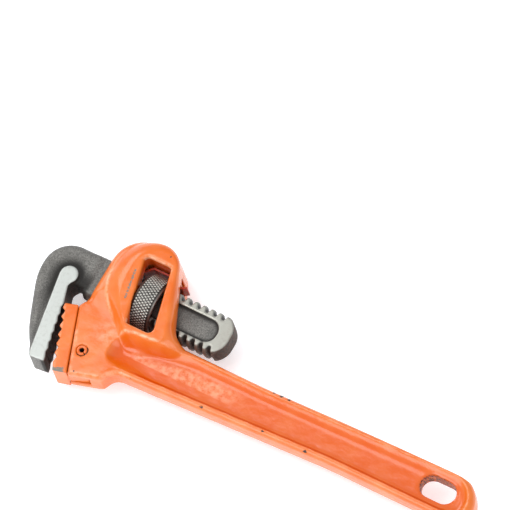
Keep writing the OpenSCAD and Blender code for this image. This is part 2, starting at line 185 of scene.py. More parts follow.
def netSurface(field, axes):
    # Skin of a field of distances: one point in each grid cell that the surface crosses, at the
    # mean of the crossings on its edges, and one four-sided face round each crossed edge
    cells, spots, flips = [], [], []
    for axis in range(3):
        lower = np.take(field, np.arange(field.shape[axis] - 1), axis)
        upper = np.take(field, np.arange(1, field.shape[axis]), axis)
        node = np.stack(np.nonzero((lower < 0) != (upper < 0)), 1)
        low, high = lower[tuple(node.T)], upper[tuple(node.T)]
        spot = np.stack([axes[k][node[:, k]] for k in range(3)], 1)
        step = axes[axis][node[:, axis] + 1] - axes[axis][node[:, axis]]
        spot[:, axis] += step * low / (low - high)
        ring = []
        for du, dv in ((0, 0), (1, 0), (1, 1), (0, 1)):
            cell = node.copy()
            cell[:, (axis + 1) % 3] -= du
            cell[:, (axis + 2) % 3] -= dv
            ring.append(np.ravel_multi_index(tuple(cell.T), field.shape))
        cells.append(np.stack(ring, 1))
        spots.append(spot)
        flips.append(low > 0)
    cells, spots, flips = (np.concatenate(part) for part in (cells, spots, flips))
    which = np.unique(cells, return_inverse=True)[1].reshape(-1)
    count = np.bincount(which)
    points = np.stack([np.bincount(which, np.repeat(spots[:, k], 4)) / count for k in range(3)], 1)
    faces = which.reshape(-1, 4)
    faces[flips] = faces[flips][:, ::-1]
    return points, faces


def gridSurface(points, closedRows, closedColumns):
    # Faces of a surface given as rows of points, joined to the first row or column where closed
    rows, columns = points.shape[:2]
    row, column = np.meshgrid(np.arange(rows - (not closedRows)), np.arange(columns - (not closedColumns)),
                              indexing="ij")
    nextRow, nextColumn = (row + 1) % rows, (column + 1) % columns
    faces = np.stack([row * columns + column, row * columns + nextColumn,
                      nextRow * columns + nextColumn, nextRow * columns + column], -1)
    return points.reshape(-1, 3), faces.reshape(-1, 4)


def newPiece(name, points, faces, material, body, replaced, marks=None):
    # A piece of the wrench from points in millimetres about the nut's centre, with a number for
    # each point under each mark's name, which its material reads
    mesh = bpy.data.meshes.new(name)
    mesh.vertices.add(len(points))
    mesh.vertices.foreach_set("co", ((points + nutCentre) * mm).astype(np.float32).ravel())
    mesh.loops.add(faces.size)
    mesh.loops.foreach_set("vertex_index", faces.astype(np.int32).ravel())
    mesh.polygons.add(len(faces))
    mesh.polygons.foreach_set("loop_start", np.arange(0, faces.size, faces.shape[1], dtype=np.int32))
    mesh.update(calc_edges=True)
    mesh.polygons.foreach_set("use_smooth", np.ones(len(faces), bool))
    for mark, values in (marks or {}).items():
        mesh.attributes.new(mark, "FLOAT", "POINT").data.foreach_set("value", values.astype(np.float32))
    mesh.materials.append(material)
    piece = bpy.data.objects.new(name, mesh)
    bpy.context.collection.objects.link(piece)
    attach(piece, body)
    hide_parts(*replaced)
    print(name, len(faces) * (faces.shape[1] - 2), "triangles")


# Finishes: colours are sRGB hex, and every pattern's size is in millimetres on the wrench

def linear(code):
    # An sRGB hex colour, such as "ff8800", as linear light
    parts = np.array([int(code[i:i + 2], 16) for i in (0, 2, 4)]) / 255
    return (*np.where(parts <= 0.04045, parts / 12.92, ((parts + 0.055) / 1.055) ** 2.4), 1.0)


def addNode(tree, kind, inputs=None, output=None, **settings):
    # One node with its settings and links; each input is a value or another node's output
    node = tree.nodes.new("ShaderNode" + kind)
    for key, value in settings.items():
        setattr(node, key, value)
    for key, value in (inputs or {}).items():
        if isinstance(value, bpy.types.NodeSocket):
            tree.links.new(value, node.inputs[key])
        else:
            node.inputs[key].default_value = value
    return node if output is None else node.outputs[output]


def newFinish(name, **values):
    # A material with its shader set to these values, and the place of each point in millimetres. The
    # IOR stays at the shader's own 1.5, which is right for enamel and is the default for a metal.
    finish = bpy.data.materials.new(name)
    finish.use_nodes = True
    tree = finish.node_tree
    tree.nodes.clear()
    shader = addNode(tree, "BsdfPrincipled", {key.replace("_", " "): value for key, value in values.items()})
    addNode(tree, "OutputMaterial", {"Surface": shader.outputs["BSDF"]})
    place = addNode(tree, "TexCoord", output="Object")
    spot = addNode(tree, "VectorMath", {0: place, "Scale": 1 / mm}, 0, operation="SCALE")
    return finish, tree, shader, spot


def finishFrom(tree, shader, colour, roughness, layers, metallic=None):
    # Links the colour, the roughness and the bumps, each a pattern and its height in millimetres
    tree.links.new(colour, shader.inputs["Base Color"])
    tree.links.new(roughness, shader.inputs["Roughness"])
    if metallic is not None:
        tree.links.new(metallic, shader.inputs["Metallic"])
    normal = None
    for height, size in layers:
        inputs = {"Height": height, "Distance": size * mm, "Strength": 1.0}
        if normal is not None:
            inputs["Normal"] = normal
        normal = addNode(tree, "Bump", inputs, "Normal")
    tree.links.new(normal, shader.inputs["Normal"])


# deep is a deeper orange painted as shade, and as pooled paint on the pin; edge is a pale pink painted as
# highlight
enamel = {
    "colour": "d4600c", "light": "d86e28", "deep": "cc4404", "edge": "f3b08a",
    "bareMetal": "3a3431", "wornMetal": "7d786f",
    "roughness": 0.17, "bareRoughness": 0.6, "bareMetallic": 0.6,
    "cloudSize": 11.0, "highlightPatchSize": 2.5, "tearSize": 0.7, "glossSize": 3.5, "lumpSize": 3.4, "peelSize": 1.3,
    "lumpHeight": 0.075, "peelHeight": 0.03, "filmDepth": 0.05,
}


def makeEnamel():
    # Orange alkyd enamel sprayed over a sand casting: a wet gloss that breaks over the casting's
    # lumps, fine orange peel, a deeper orange painted as shade in hollows (and pooled paint on the pin), a
    # pale pink painted as highlight along lines and patches, and dark iron at chips
    finish, tree, shader, spot = newFinish("orangeEnamelOnCasting")
    chip, worn, hollow, paintedHighlight = (addNode(tree, "Attribute", output="Fac", attribute_name=mark)
                                for mark in ("chip", "worn", "hollow", "paintedHighlight"))
    # Paint: two oranges in clouds, and a pale painted highlight in broken patches over the marked lines
    clouds = addNode(tree, "TexNoise", {"Vector": spot, "Scale": 1 / enamel["cloudSize"],
                                        "Detail": 3.0}, "Fac")
    cloudy = addNode(tree, "MapRange", {"Value": clouds, "From Min": 0.38, "From Max": 0.64}, "Result")
    broken = addNode(tree, "TexNoise", {"Vector": spot, "Scale": 1 / enamel["highlightPatchSize"], "Detail": 4.0,
                                        "Roughness": 0.6}, "Fac")
    thin = addNode(tree, "MapRange", {"Value": broken, "From Min": 0.35, "From Max": 0.6}, "Result")
    thin = addNode(tree, "Math", {0: thin, 1: paintedHighlight}, 0, operation="MULTIPLY")
    # Chips and rubbed places end in a torn line
    ragged = addNode(tree, "TexNoise", {"Vector": spot, "Scale": 1 / enamel["tearSize"], "Detail": 4.0,
                                        "Roughness": 0.65}, "Fac")
    tear = addNode(tree, "MapRange", {"Value": ragged, "From Min": 0.3, "From Max": 0.7, "To Min": -0.4,
                                      "To Max": 0.4}, "Result")
    chipped = addNode(tree, "Math", {0: chip, 1: tear}, 0, operation="ADD")
    chipped = addNode(tree, "MapRange", {"Value": chipped, "From Min": 0.45, "From Max": 0.55}, "Result")
    rubbed = addNode(tree, "Math", {0: worn, 1: tear}, 0, operation="ADD")
    rubbed = addNode(tree, "MapRange", {"Value": rubbed, "From Min": 0.42, "From Max": 0.62}, "Result")
    colour = addNode(tree, "Mix", {0: cloudy, 6: linear(enamel["colour"]), 7: linear(enamel["light"])}, 2,
                     data_type="RGBA")
    # deep paints shade (and the pin's pooled paint), edge paints a highlight, then worn metal and bare iron
    for amount, code in ((hollow, "deep"), (thin, "edge"), (rubbed, "wornMetal"), (chipped, "bareMetal")):
        colour = addNode(tree, "Mix", {0: amount, 6: colour, 7: linear(enamel[code])}, 2, data_type="RGBA")
    # Bare iron is duller than the paint and lies a film's depth below it
    bare = addNode(tree, "Math", {0: chipped, 1: rubbed}, 0, operation="MAXIMUM")
    patches = addNode(tree, "TexNoise", {"Vector": spot, "Scale": 1 / enamel["glossSize"], "Detail": 4.0,
                                         "Roughness": 0.6}, "Fac")
    gloss = addNode(tree, "MapRange", {"Value": patches, "From Min": 0.3, "From Max": 0.7,
                                       "To Min": enamel["roughness"] - 0.04,
                                       "To Max": enamel["roughness"] + 0.07}, "Result")
    rough = addNode(tree, "Mix", {0: bare, 2: gloss, 3: enamel["bareRoughness"]}, 0)
    metallic = addNode(tree, "Math", {0: bare, 1: enamel["bareMetallic"]}, 0, operation="MULTIPLY")
    lumps = addNode(tree, "TexNoise", {"Vector": spot, "Scale": 1 / enamel["lumpSize"], "Detail": 3.0}, "Fac")
    peel = addNode(tree, "TexNoise", {"Vector": spot, "Scale": 1 / enamel["peelSize"], "Detail": 1.5}, "Fac")
    film = addNode(tree, "Math", {0: 1.0, 1: bare}, 0, operation="SUBTRACT")
    layers = [(lumps, enamel["lumpHeight"]), (peel, enamel["peelHeight"]), (film, enamel["filmDepth"])]
    finishFrom(tree, shader, colour, rough, layers, metallic)
    return finish


forging = {
    "skin": "54524f", "skinLight": "86847f", "ground": "aaada9", "land": "9b9a92", "shadeAndGrime": "211f1d",
    "rust": "6b4c3b", "speckSize": 0.6, "scaleSize": 2.4, "stainSize": 1.6, "wheelTurn": 12.0,
    # Grinding lines for each millimetre across and along them: real ones are about 0.05 mm wide, and
    # these are 0.25 mm, so that they show
    "linesAcross": 4.0, "linesAlong": 0.12,
    "scaleHeight": 0.25, "pitDepth": 0.13, "lineDepth": 0.02,
}


def makeForging():
    # Heat-treated forged steel: a dull grey scale with fine pale speckle, dark shade painted round the band,
    # in the throat and recess and on the teeth, and bright bands where a grinding wheel has left fine
    # straight lines
    finish, tree, shader, spot = newFinish("forgedSteelWithGroundBands")
    flat, bright, shadeAndGrime, rust = (addNode(tree, "Attribute", output="Fac", attribute_name=mark)
                                 for mark in ("ground", "bright", "shadeAndGrime", "rust"))
    # Scale: pale specks in clouds
    specks = addNode(tree, "TexNoise", {"Vector": spot, "Scale": 1 / forging["speckSize"], "Detail": 3.0,
                                        "Roughness": 0.75}, "Fac")
    speck = addNode(tree, "MapRange", {"Value": specks, "From Min": 0.36, "From Max": 0.68}, "Result")
    clouds = addNode(tree, "TexNoise", {"Vector": spot, "Scale": 1 / (3 * forging["scaleSize"]),
                                        "Detail": 3.0}, "Fac")
    cloud = addNode(tree, "MapRange", {"Value": clouds, "From Min": 0.35, "From Max": 0.65,
                                       "To Max": 0.45}, "Result")
    skin = addNode(tree, "Mix", {0: speck, 6: linear(forging["skin"]), 7: linear(forging["skinLight"])}, 2,
                   data_type="RGBA")
    skin = addNode(tree, "Mix", {0: cloud, 6: skin, 7: linear(forging["skin"])}, 2, data_type="RGBA")
    # Ground metal: fine lines one way, and stains
    lines = addNode(tree, "Mapping", {"Vector": spot, "Rotation": (0, 0, math.radians(forging["wheelTurn"])),
                                      "Scale": (forging["linesAcross"], forging["linesAlong"], 1.0)}, 0)
    wheel = addNode(tree, "TexNoise", {"Vector": lines, "Scale": 1.0, "Detail": 3.0, "Roughness": 0.6}, "Fac")
    stains = addNode(tree, "TexNoise", {"Vector": spot, "Scale": 1 / forging["stainSize"], "Detail": 4.0,
                                        "Roughness": 0.7}, "Fac")
    stain = addNode(tree, "MapRange", {"Value": stains, "From Min": 0.5, "From Max": 0.75,
                                       "To Max": 0.4}, "Result")
    metal = addNode(tree, "Mix", {0: bright, 6: linear(forging["land"]), 7: linear(forging["ground"])}, 2,
                    data_type="RGBA")
    metal = addNode(tree, "Mix", {0: stain, 6: metal, 7: linear(forging["skinLight"])}, 2, data_type="RGBA")
    # Scale or metal, with the dark mark (painted shade, and darker thread roots) and rust over both
    patchy = addNode(tree, "MapRange", {"Value": stains, "From Min": 0.35, "From Max": 0.65}, "Result")
    rusty = addNode(tree, "Math", {0: rust, 1: patchy}, 0, operation="MULTIPLY")
    colour = addNode(tree, "Mix", {0: flat, 6: skin, 7: metal}, 2, data_type="RGBA")
    for amount, code in ((shadeAndGrime, "shadeAndGrime"), (rusty, "rust")):
        colour = addNode(tree, "Mix", {0: amount, 6: colour, 7: linear(forging[code])}, 2, data_type="RGBA")
    # The scale is duller than the metal, and the dark-marked places are duller than both
    dull = addNode(tree, "MapRange", {"Value": speck, "To Min": 0.6, "To Max": 0.44}, "Result")
    shine = addNode(tree, "MapRange", {"Value": wheel, "From Min": 0.3, "From Max": 0.7, "To Min": 0.3,
                                       "To Max": 0.45}, "Result")
    rough = addNode(tree, "Mix", {0: flat, 2: dull, 3: shine}, 0)
    rough = addNode(tree, "Mix", {0: shadeAndGrime, 2: rough, 3: 0.75}, 0)
    metallic = addNode(tree, "Mix", {0: flat, 2: 0.5, 3: 0.75}, 0)
    # Lumps and pits in the scale, and lines in the metal
    onSkin = addNode(tree, "Math", {0: 1.0, 1: flat}, 0, operation="SUBTRACT")
    scale = addNode(tree, "TexNoise", {"Vector": spot, "Scale": 1 / forging["scaleSize"],
                                       "Detail": 3.0}, "Fac")
    layers = []
    for pattern, where, size in ((scale, onSkin, "scaleHeight"), (specks, onSkin, "pitDepth"),
                                 (wheel, flat, "lineDepth")):
        height = addNode(tree, "Math", {0: pattern, 1: where}, 0, operation="MULTIPLY")
        layers.append((height, forging[size]))
    finishFrom(tree, shader, colour, rough, layers, metallic)
    return finish


nutSteel = {"valleyShade": "1f1d1b", "tip": "b9b6af", "plain": "7f7b76", "dirt": "4e4845", "dirtSize": 2.2,
            "grainSize": 0.3, "grainDepth": 0.015}


def makeNutSteel():
    # Blackened carbon steel: the knurl's valleys are painted near black as shade, and thumbs keep its points
    # bright.
    # Its grain is drawn coarser than it is, so that it shows.
    finish, tree, shader, spot = newFinish("blackenedKnurledSteel", Metallic=0.8)
    tip, plain = (addNode(tree, "Attribute", output="Fac", attribute_name=mark) for mark in ("tip", "plain"))
    dirt = addNode(tree, "TexNoise", {"Vector": spot, "Scale": 1 / nutSteel["dirtSize"], "Detail": 4.0,
                                      "Roughness": 0.65}, "Fac")
    spread = addNode(tree, "MapRange", {"Value": dirt, "From Min": 0.3, "From Max": 0.7, "To Min": -0.2,
                                        "To Max": 0.2}, "Result")
    worn = addNode(tree, "Math", {0: tip, 1: spread}, 0, operation="ADD")
    worn = addNode(tree, "MapRange", {"Value": worn, "From Min": 0.15, "From Max": 0.85}, "Result")
    dark = addNode(tree, "MapRange", {"Value": dirt, "From Min": 0.52, "From Max": 0.75,
                                      "To Max": 0.5}, "Result")
    colour = addNode(tree, "Mix", {0: worn, 6: linear(nutSteel["valleyShade"]), 7: linear(nutSteel["tip"])}, 2,
                     data_type="RGBA")
    for amount, code in ((plain, "plain"), (dark, "dirt")):
        colour = addNode(tree, "Mix", {0: amount, 6: colour, 7: linear(nutSteel[code])}, 2, data_type="RGBA")
    rough = addNode(tree, "MapRange", {"Value": dirt, "From Min": 0.3, "From Max": 0.7, "To Min": 0.3,
                                       "To Max": 0.48}, "Result")
    grain = addNode(tree, "TexNoise", {"Vector": spot, "Scale": 1 / nutSteel["grainSize"], "Detail": 3.0,
                                       "Roughness": 0.7}, "Fac")
    finishFrom(tree, shader, colour, rough, [(grain, nutSteel["grainDepth"])])
    return finish


springSteel = {"dark": "5f5e60", "light": "8b8a8a", "grainSize": 0.4, "grainDepth": 0.01}


def makeSpringSteel():
    # Drawn and rolled spring steel: a smooth grey sheen with a fine grain, drawn coarser than it is
    finish, tree, shader, spot = newFinish("drawnSpringSteel", Metallic=0.9)
    grain = addNode(tree, "TexNoise", {"Vector": spot, "Scale": 1 / springSteel["grainSize"], "Detail": 4.0,
                                       "Roughness": 0.7}, "Fac")
    colour = addNode(tree, "Mix", {0: grain, 6: linear(springSteel["dark"]),
                                   7: linear(springSteel["light"])}, 2, data_type="RGBA")
    rough = addNode(tree, "MapRange", {"Value": grain, "From Min": 0.3, "From Max": 0.7, "To Min": 0.28,
                                       "To Max": 0.42}, "Result")
    finishFrom(tree, shader, colour, rough, [(grain, springSteel["grainDepth"])])
    return finish


overspray = {"paint": "b8300e", "worn": "5a3529", "wornSize": 1.6, "rippleSize": 0.9, "rippleHeight": 0.03}


def makePaintedSpring():
    # Spring steel under a thin red-orange overspray that has worn through here and there
    finish, tree, shader, spot = newFinish("oversprayedSpringSteel")
    wearing = addNode(tree, "TexNoise", {"Vector": spot, "Scale": 1 / overspray["wornSize"], "Detail": 4.0,
                                         "Roughness": 0.65}, "Fac")
    thin = addNode(tree, "MapRange", {"Value": wearing, "From Min": 0.55, "From Max": 0.68}, "Result")
    colour = addNode(tree, "Mix", {0: thin, 6: linear(overspray["paint"]), 7: linear(overspray["worn"])}, 2,
                     data_type="RGBA")
    rough = addNode(tree, "MapRange", {"Value": thin, "To Min": 0.32, "To Max": 0.5}, "Result")
    ripple = addNode(tree, "TexNoise", {"Vector": spot, "Scale": 1 / overspray["rippleSize"],
                                        "Detail": 2.0}, "Fac")
    finishFrom(tree, shader, colour, rough, [(ripple, overspray["rippleHeight"])])
    return finish


enamelFinish = makeEnamel()
forgedFinish = makeForging()
nutFinish = makeNutSteel()
springFinish = makeSpringSteel()
paintedSpringFinish = makePaintedSpring()
print("finishes made")

# The two rows of teeth: u runs down a jaw from its top, and v out of it

jaw = {
    "toothPitch": 4.2, "toothDepth": 1.3, "toothLean": 0.35, "toothRoot": 0.3,
    "seatTop": (-25.9, -16.2), "heelAngle": 20.5, "heelLength": 31.0, "heelDepth": 6.8,
    "hookFoot": (-32.8, -17.0), "hookAngle": 12.0, "hookTip": 0.7, "tipLand": 2.0,
    "pinAlong": 19.8, "pinBack": 4.7, "pinGap": 0.12,
}


def alongJaw(foot, angle, u, v):
    # The foot, plus u down a line that leans by the angle, plus v square to that line
    lean = math.radians(angle)
    return (foot[0] + u * math.sin(lean) + v * math.cos(lean),
            foot[1] - u * math.cos(lean) + v * math.sin(lean))


def heelPoint(u, v):
    # Place of a point u down the heel jaw's seat and v out of it, towards the hook
    return alongJaw(jaw["seatTop"], jaw["heelAngle"], u, -v)


def hookPoint(u, v):
    # Place of a point u down the hook's tooth tips and v out of them, towards the heel
    return alongJaw(jaw["hookFoot"], jaw["hookAngle"], u, v)


def heelFrame(x, y):
    # How far down the heel jaw's seat a point lies, and how far out of it: heelPoint the other way round
    lean = math.radians(jaw["heelAngle"])
    dx, dy = x - jaw["seatTop"][0], y - jaw["seatTop"][1]
    return dx * math.sin(lean) - dy * math.cos(lean), -dx * math.cos(lean) - dy * math.sin(lean)


pinAt = heelPoint(jaw["pinAlong"], -jaw["pinBack"])


def pinDistance(x, y):
    # Distance to the round of the heel jaw's pin
    return np.hypot(x - pinAt[0], y - pinAt[1]) - pinHigh[0] + pinAt[0]


# Handle, head and housing: one casting

casting = {
    # Housing's walls from the nut's centre, the lean of its back and its two top corners' radii
    "frontWall": 24.6, "backWall": 14.0, "backAngle": 25.0, "frontRadius": 15.5, "backRadius": 13.0,
    # Handle's top line, and its widths at the root, the waist and the end
    "handleTop": 12.4, "rootWidth": 23.1, "waistX": 105.0, "waistWidth": 19.2, "bendX": 65.0,
    "endWidth": 22.1, "endRise": 3.7, "headDrop": 5.6, "ledge": -12.4,
    # Half thicknesses, and over how far the housing rises to its own
    "rimHalf": 6.5, "webHalf": 3.5, "headHalf": 7.2, "housingHalf": 8.8, "headLean": 0.016, "housingRun": 9.0,
    # Rims beside the web, the widths of its sloping walls, and how they bow
    "upperRim": 1.8, "lowerRim": 2.3, "endRim": 3.2, "wallLow": 2.4, "wallHigh": 6.2, "wallHead": 8.4,
    "wallEnd": 4.5, "wallBow": 2.3, "cheekBow": 1.5, "waveHeight": 0.025,
    # Window over the nut, and the hang hole
    "windowWidth": 13.0, "windowX": 0.7, "windowSlant": 14.8, "windowGap": 2.2,
    "hangLength": 16.6, "hangWidth": 10.0, "hangWall": 10.2,
    # Hollows for the shank, the nut, the two springs and the heel jaw's tang
    "channelHalf": 5.55, "channelFloor": -10.9, "channelRoof": 12.35, "pocketGap": 1.0, "pocketHalfX": 5.7,
    "pocketWall": 1.1, "slotX": -1.75, "slotHalf": 9.25, "slotRise": 2.2, "slotGap": 0.5,
    "coilGap": 1.0, "coilRise": 0.9, "tangHalf": 3.05, "tangTop": 4.7, "tangReach": 9.3, "headProud": 0.02,
    # Radii of the cast edges on the handle, head, post and housing, and those of the openings
    "rimEdge": 3.3, "headEdge": 1.1, "postEdge": 1.7, "housingEdge": 3.2, "windowEdge": 1.1, "hangEdge": 0.9,
    "channelCorner": 0.8, "channelEdge": 0.5, "tangEdge": 0.2, "pinEdge": 0.35,
    # Parting line, and the grid's steps by the head and along the handle
    "partingHalf": 0.5, "partingProud": 0.12, "fineStep": 0.47, "coarseStep": 0.85,
}
handleReach, housingTop, cheekHalf = bodyHigh
handleBottom = -casting["handleTop"] - casting["rootWidth"]
waistBottom = -casting["handleTop"] + 0.8 - casting["waistWidth"]
endTop = -casting["handleTop"] + casting["endRise"]
endBottom = endTop - casting["endWidth"]
endTopRadius, endLowRadius = casting["endWidth"] * 0.64, casting["endWidth"] * 0.32
nutRadius = nutHigh[1]
hangX = handleReach - casting["hangWall"] - casting["hangLength"] / 2
hangY = (endTop + endBottom) / 2


def backX(y):
    # Place of the housing's leaning back wall at a height y
    return casting["backWall"] - y * math.tan(math.radians(casting["backAngle"]))


def hangDistance(x, y):
    # Distance from the short line along the hang hole's middle
    straight = (casting["hangLength"] - casting["hangWidth"]) / 2
    return np.hypot(np.clip(np.abs(x - hangX) - straight, 0, None), y - hangY)


def castingLoops():
    # The casting's outlines, each an arc or a curve through the few corners that its shape needs
    front, top = -casting["frontWall"], -casting["handleTop"]
    seatX, seatY = jaw["seatTop"]
    body = roundedLoop([
        [seatX - 0.3, seatY + 0.5, 0.6], [front, casting["ledge"], 1.5],
        [front, housingTop, casting["frontRadius"]], [backX(housingTop), housingTop, casting["backRadius"]],
        [backX(top), top, 10], [casting["bendX"], top, 200],
        [handleReach, endTop, endTopRadius], [handleReach, endBottom, endLowRadius],
        [casting["waistX"], waistBottom, 200], [3, handleBottom, 6],
        [-0.8, handleBottom - casting["headDrop"], 1.5], [*heelPoint(jaw["heelLength"], 0), 0.6],
    ])
    # Inside this one the face rises to the housing
    housing = roundedLoop([
        [front - 3, -11, 3], [front - 3, housingTop + 3, casting["frontRadius"]],
        [backX(housingTop) + 3, housingTop + 3, casting["backRadius"]], [backX(top) + 3, top - 1, 3],
        [-2, top - 6, 6],
    ])
    # The cheek swells from its foot to its land, which is its flat top
    foot = smoothLoop([
        (-20.9, 6), (-20.4, 0.6), (-18.3, -4.9), (-14.3, -10.2), (-9.6, -14.6), (-5.6, -18), (-0.5, -23),
        (6, -27.5), (14, -26.5), (21, -21), (25.4, -13.5), (21.8, -7.2), (18.4, -0.5), (15, 6.5), (12.6, 15),
        (9, 23), (0.5, 28), (-9, 26.8), (-14.6, 22.4), (-18.4, 17), (-20.4, 11.4),
    ])
    land = smoothLoop([
        (-12, 6), (-11.6, 0), (-9.8, -6), (-6.6, -11.2), (-3, -15.4), (2, -20.4), (9, -21.6), (15, -18.4),
        (16, -12), (12.6, -4), (10, 2), (7.2, 10), (4.6, 17.6), (-1.5, 20.6), (-7.4, 18.8), (-11.2, 14.8),
        (-12.3, 10),
    ])
    # The sunk web between the rims
    webTop, webEnd = top - casting["upperRim"], handleReach - casting["endRim"]
    web = roundedLoop([
        [-4.8, -20.4, 6], [4, -18.2, 12], [16, -17.2, 30], [32, webTop, 60], [casting["bendX"], webTop, 200],
        [webEnd, endTop - casting["upperRim"] - 0.8, endTopRadius - 2.8],
        [webEnd, endBottom + casting["lowerRim"], endLowRadius - 2.6],
        [casting["waistX"], waistBottom + casting["lowerRim"], 200],
        [4, handleBottom + casting["lowerRim"], 4], [-4.5, handleBottom + casting["lowerRim"] + 1.4, 4],
    ])
    # The window leans, so that its top is nearer the hook than its bottom
    tall, half = nutRadius + casting["windowGap"], casting["windowWidth"] / 2
    shift = tall * math.tan(math.radians(casting["windowSlant"]))
    window = roundedLoop([
        [casting["windowX"] - half - shift, tall, 2], [casting["windowX"] + half - shift, tall, 2],
        [casting["windowX"] + half + shift, -tall, 2.4], [casting["windowX"] - half + shift, -tall, 1.2],
    ])
    return {"body": body, "housing": housing, "foot": foot, "land": land, "web": web, "window": window}


def castingHeight(xs, ys, loops):
    # Height of the casting's face above its middle plane: the rims' height, mixed up to the head's and
    # the housing's, plus the cheek's swell by the share of the way from foot to land, then mixed down
    # to the web by its depth inside the rims, plus a slow wave of two crossed sines
    x, y = np.meshgrid(xs, ys, indexing="ij")
    housing, foot, land, web = (loopDistance(loops[name], x, y)
                                for name in ("housing", "foot", "land", "web"))
    head = casting["headHalf"] - casting["headLean"] * np.clip(-y - 12, 0, 30)
    base = mix(casting["rimHalf"], head, ramp((2.5 - x) / 6))
    base = mix(base, casting["housingHalf"], ramp(-housing / casting["housingRun"]))
    outer, inner = np.clip(land, 0, None), np.clip(-foot, 0, None)
    part = outer / (outer + inner + 1e-6)
    swell = (cheekHalf - 0.1 - base) * (1 - part ** casting["cheekBow"])
    blend = 0.5
    base = softMax(base, base + np.where(foot > 0, -foot, swell), blend) - blend / 4
    wall = mix(casting["wallLow"], casting["wallHigh"], ramp((y - hangY) / 8 + 0.5))
    wall = mix(wall, casting["wallHead"], ramp((18 - x) / 14))
    wall = mix(wall, casting["wallEnd"], ramp((x - hangX - 4) / 6))
    depth = np.clip(-web / wall, 0, 1)
    height = mix(base, casting["webHalf"], 1 - (1 - depth) ** casting["wallBow"])
    wave = np.sin(x * 0.61 + 1.3 * np.sin(y * 0.43)) * np.sin(y * 0.57 + 1.1 * np.sin(x * 0.37))
    return np.minimum(height + casting["waveHeight"] * wave, cheekHalf - 0.02)


def castingEdge(x, y):
    # Radius of the casting's outer edge, mixed from the handle's to the head's and the housing's
    onHead = ramp((casting["ledge"] + 2 - y) / 4) * ramp((2 - x) / 5)
    onHousing = ramp((y + 10) / 6) * ramp((20 - x) / 8)
    offPost = ramp((backX(y) - 8 - x) / 8)
    return mix(mix(casting["rimEdge"], casting["headEdge"], onHead),
               mix(casting["postEdge"], casting["housingEdge"], offPost), onHousing)


def castingHollows(x, y, z):
    # The openings below the surface, each a field of its own with the radius of its edge
    mid = (casting["channelFloor"] + casting["channelRoof"]) / 2
    channel = roundMax(np.abs(z) - casting["channelHalf"], np.abs(y - mid) - (casting["channelRoof"] - mid),
                       casting["channelCorner"])
    pocket = np.maximum(np.hypot(y, z) - nutRadius - casting["pocketGap"], np.abs(x) - casting["pocketHalfX"])
    pocket = np.maximum(pocket, np.abs(z) - cheekHalf + casting["pocketWall"])
    slot = np.maximum(np.abs(x - casting["slotX"]) - casting["slotHalf"], y - nutRadius - casting["slotRise"])
    slot = np.maximum(slot, np.maximum(-y, np.abs(z) - leafHigh[2] - casting["slotGap"]))
    coil = np.hypot(x - (coilLow[0] + coilHigh[0]) / 2, z) - coilHigh[2] - casting["coilGap"]
    coil = np.maximum(coil, np.maximum(y - coilHigh[1] - casting["coilRise"], -y))
    u, v = heelFrame(x, y)
    tang = np.maximum(np.maximum(casting["tangTop"] - u, -v - casting["tangReach"]),
                      np.abs(z) - casting["tangHalf"])
    return ((channel, casting["channelEdge"]), (pocket, 0), (slot, 0), (coil, 0), (tang, casting["tangEdge"]))


def makeCasting():
    # The overlap of the space between the two faces with the outline, its edge rounded, joined with
    # the thin parting line round the middle, less the window, the hollows, the pin's bore, what is in
    # front of the heel jaw's seat, and the hang hole
    loops = castingLoops()
    head = np.arange(bodyLow[0] - 1.2, 27, casting["fineStep"])
    bar = np.arange(head[-1] + casting["coarseStep"], handleReach + 1.8, casting["coarseStep"])
    xs = np.concatenate([head, bar])
    ys = np.arange(bodyLow[1] - 1.2, housingTop + 1.3, casting["fineStep"])
    zs = np.arange(-cheekHalf - 1.0, cheekHalf + 1.2, casting["fineStep"])
    zs -= (zs[0] + zs[-1]) / 2
    height = castingHeight(xs, ys, loops)
    x2, y2 = np.meshgrid(xs, ys, indexing="ij")
    x, y, z = x2[:, :, None], y2[:, :, None], zs[None, None, :]
    outline = loopDistance(loops["body"], x2, y2)[:, :, None]
    faces = (np.abs(z) - height[:, :, None]) / slopeFix(height, xs, ys)[:, :, None]
    field = roundMax(faces, outline, castingEdge(x2, y2)[:, :, None])
    parting = np.abs(z) - casting["partingHalf"] + np.clip(outline, 0, None) * 2
    field = np.minimum(field, np.maximum(outline - casting["partingProud"], parting))
    field = cut(field, loopDistance(loops["window"], x2, y2)[:, :, None], casting["windowEdge"])
    for hollow, edge in castingHollows(x, y, z):
        field = cut(field, hollow, edge)
    u, v = heelFrame(x, y)
    field = np.maximum(field, v - casting["headProud"] - 40 * np.clip(-u - 0.5, 0, None))
    field = cut(field, pinDistance(x, y) - jaw["pinGap"], casting["pinEdge"])
    field = cut(field, hangDistance(x, y) - casting["hangWidth"] / 2, casting["hangEdge"])
    points, faces = netSurface(field, (xs, ys, zs))
    return points, faces, castingMarks(points, loops)


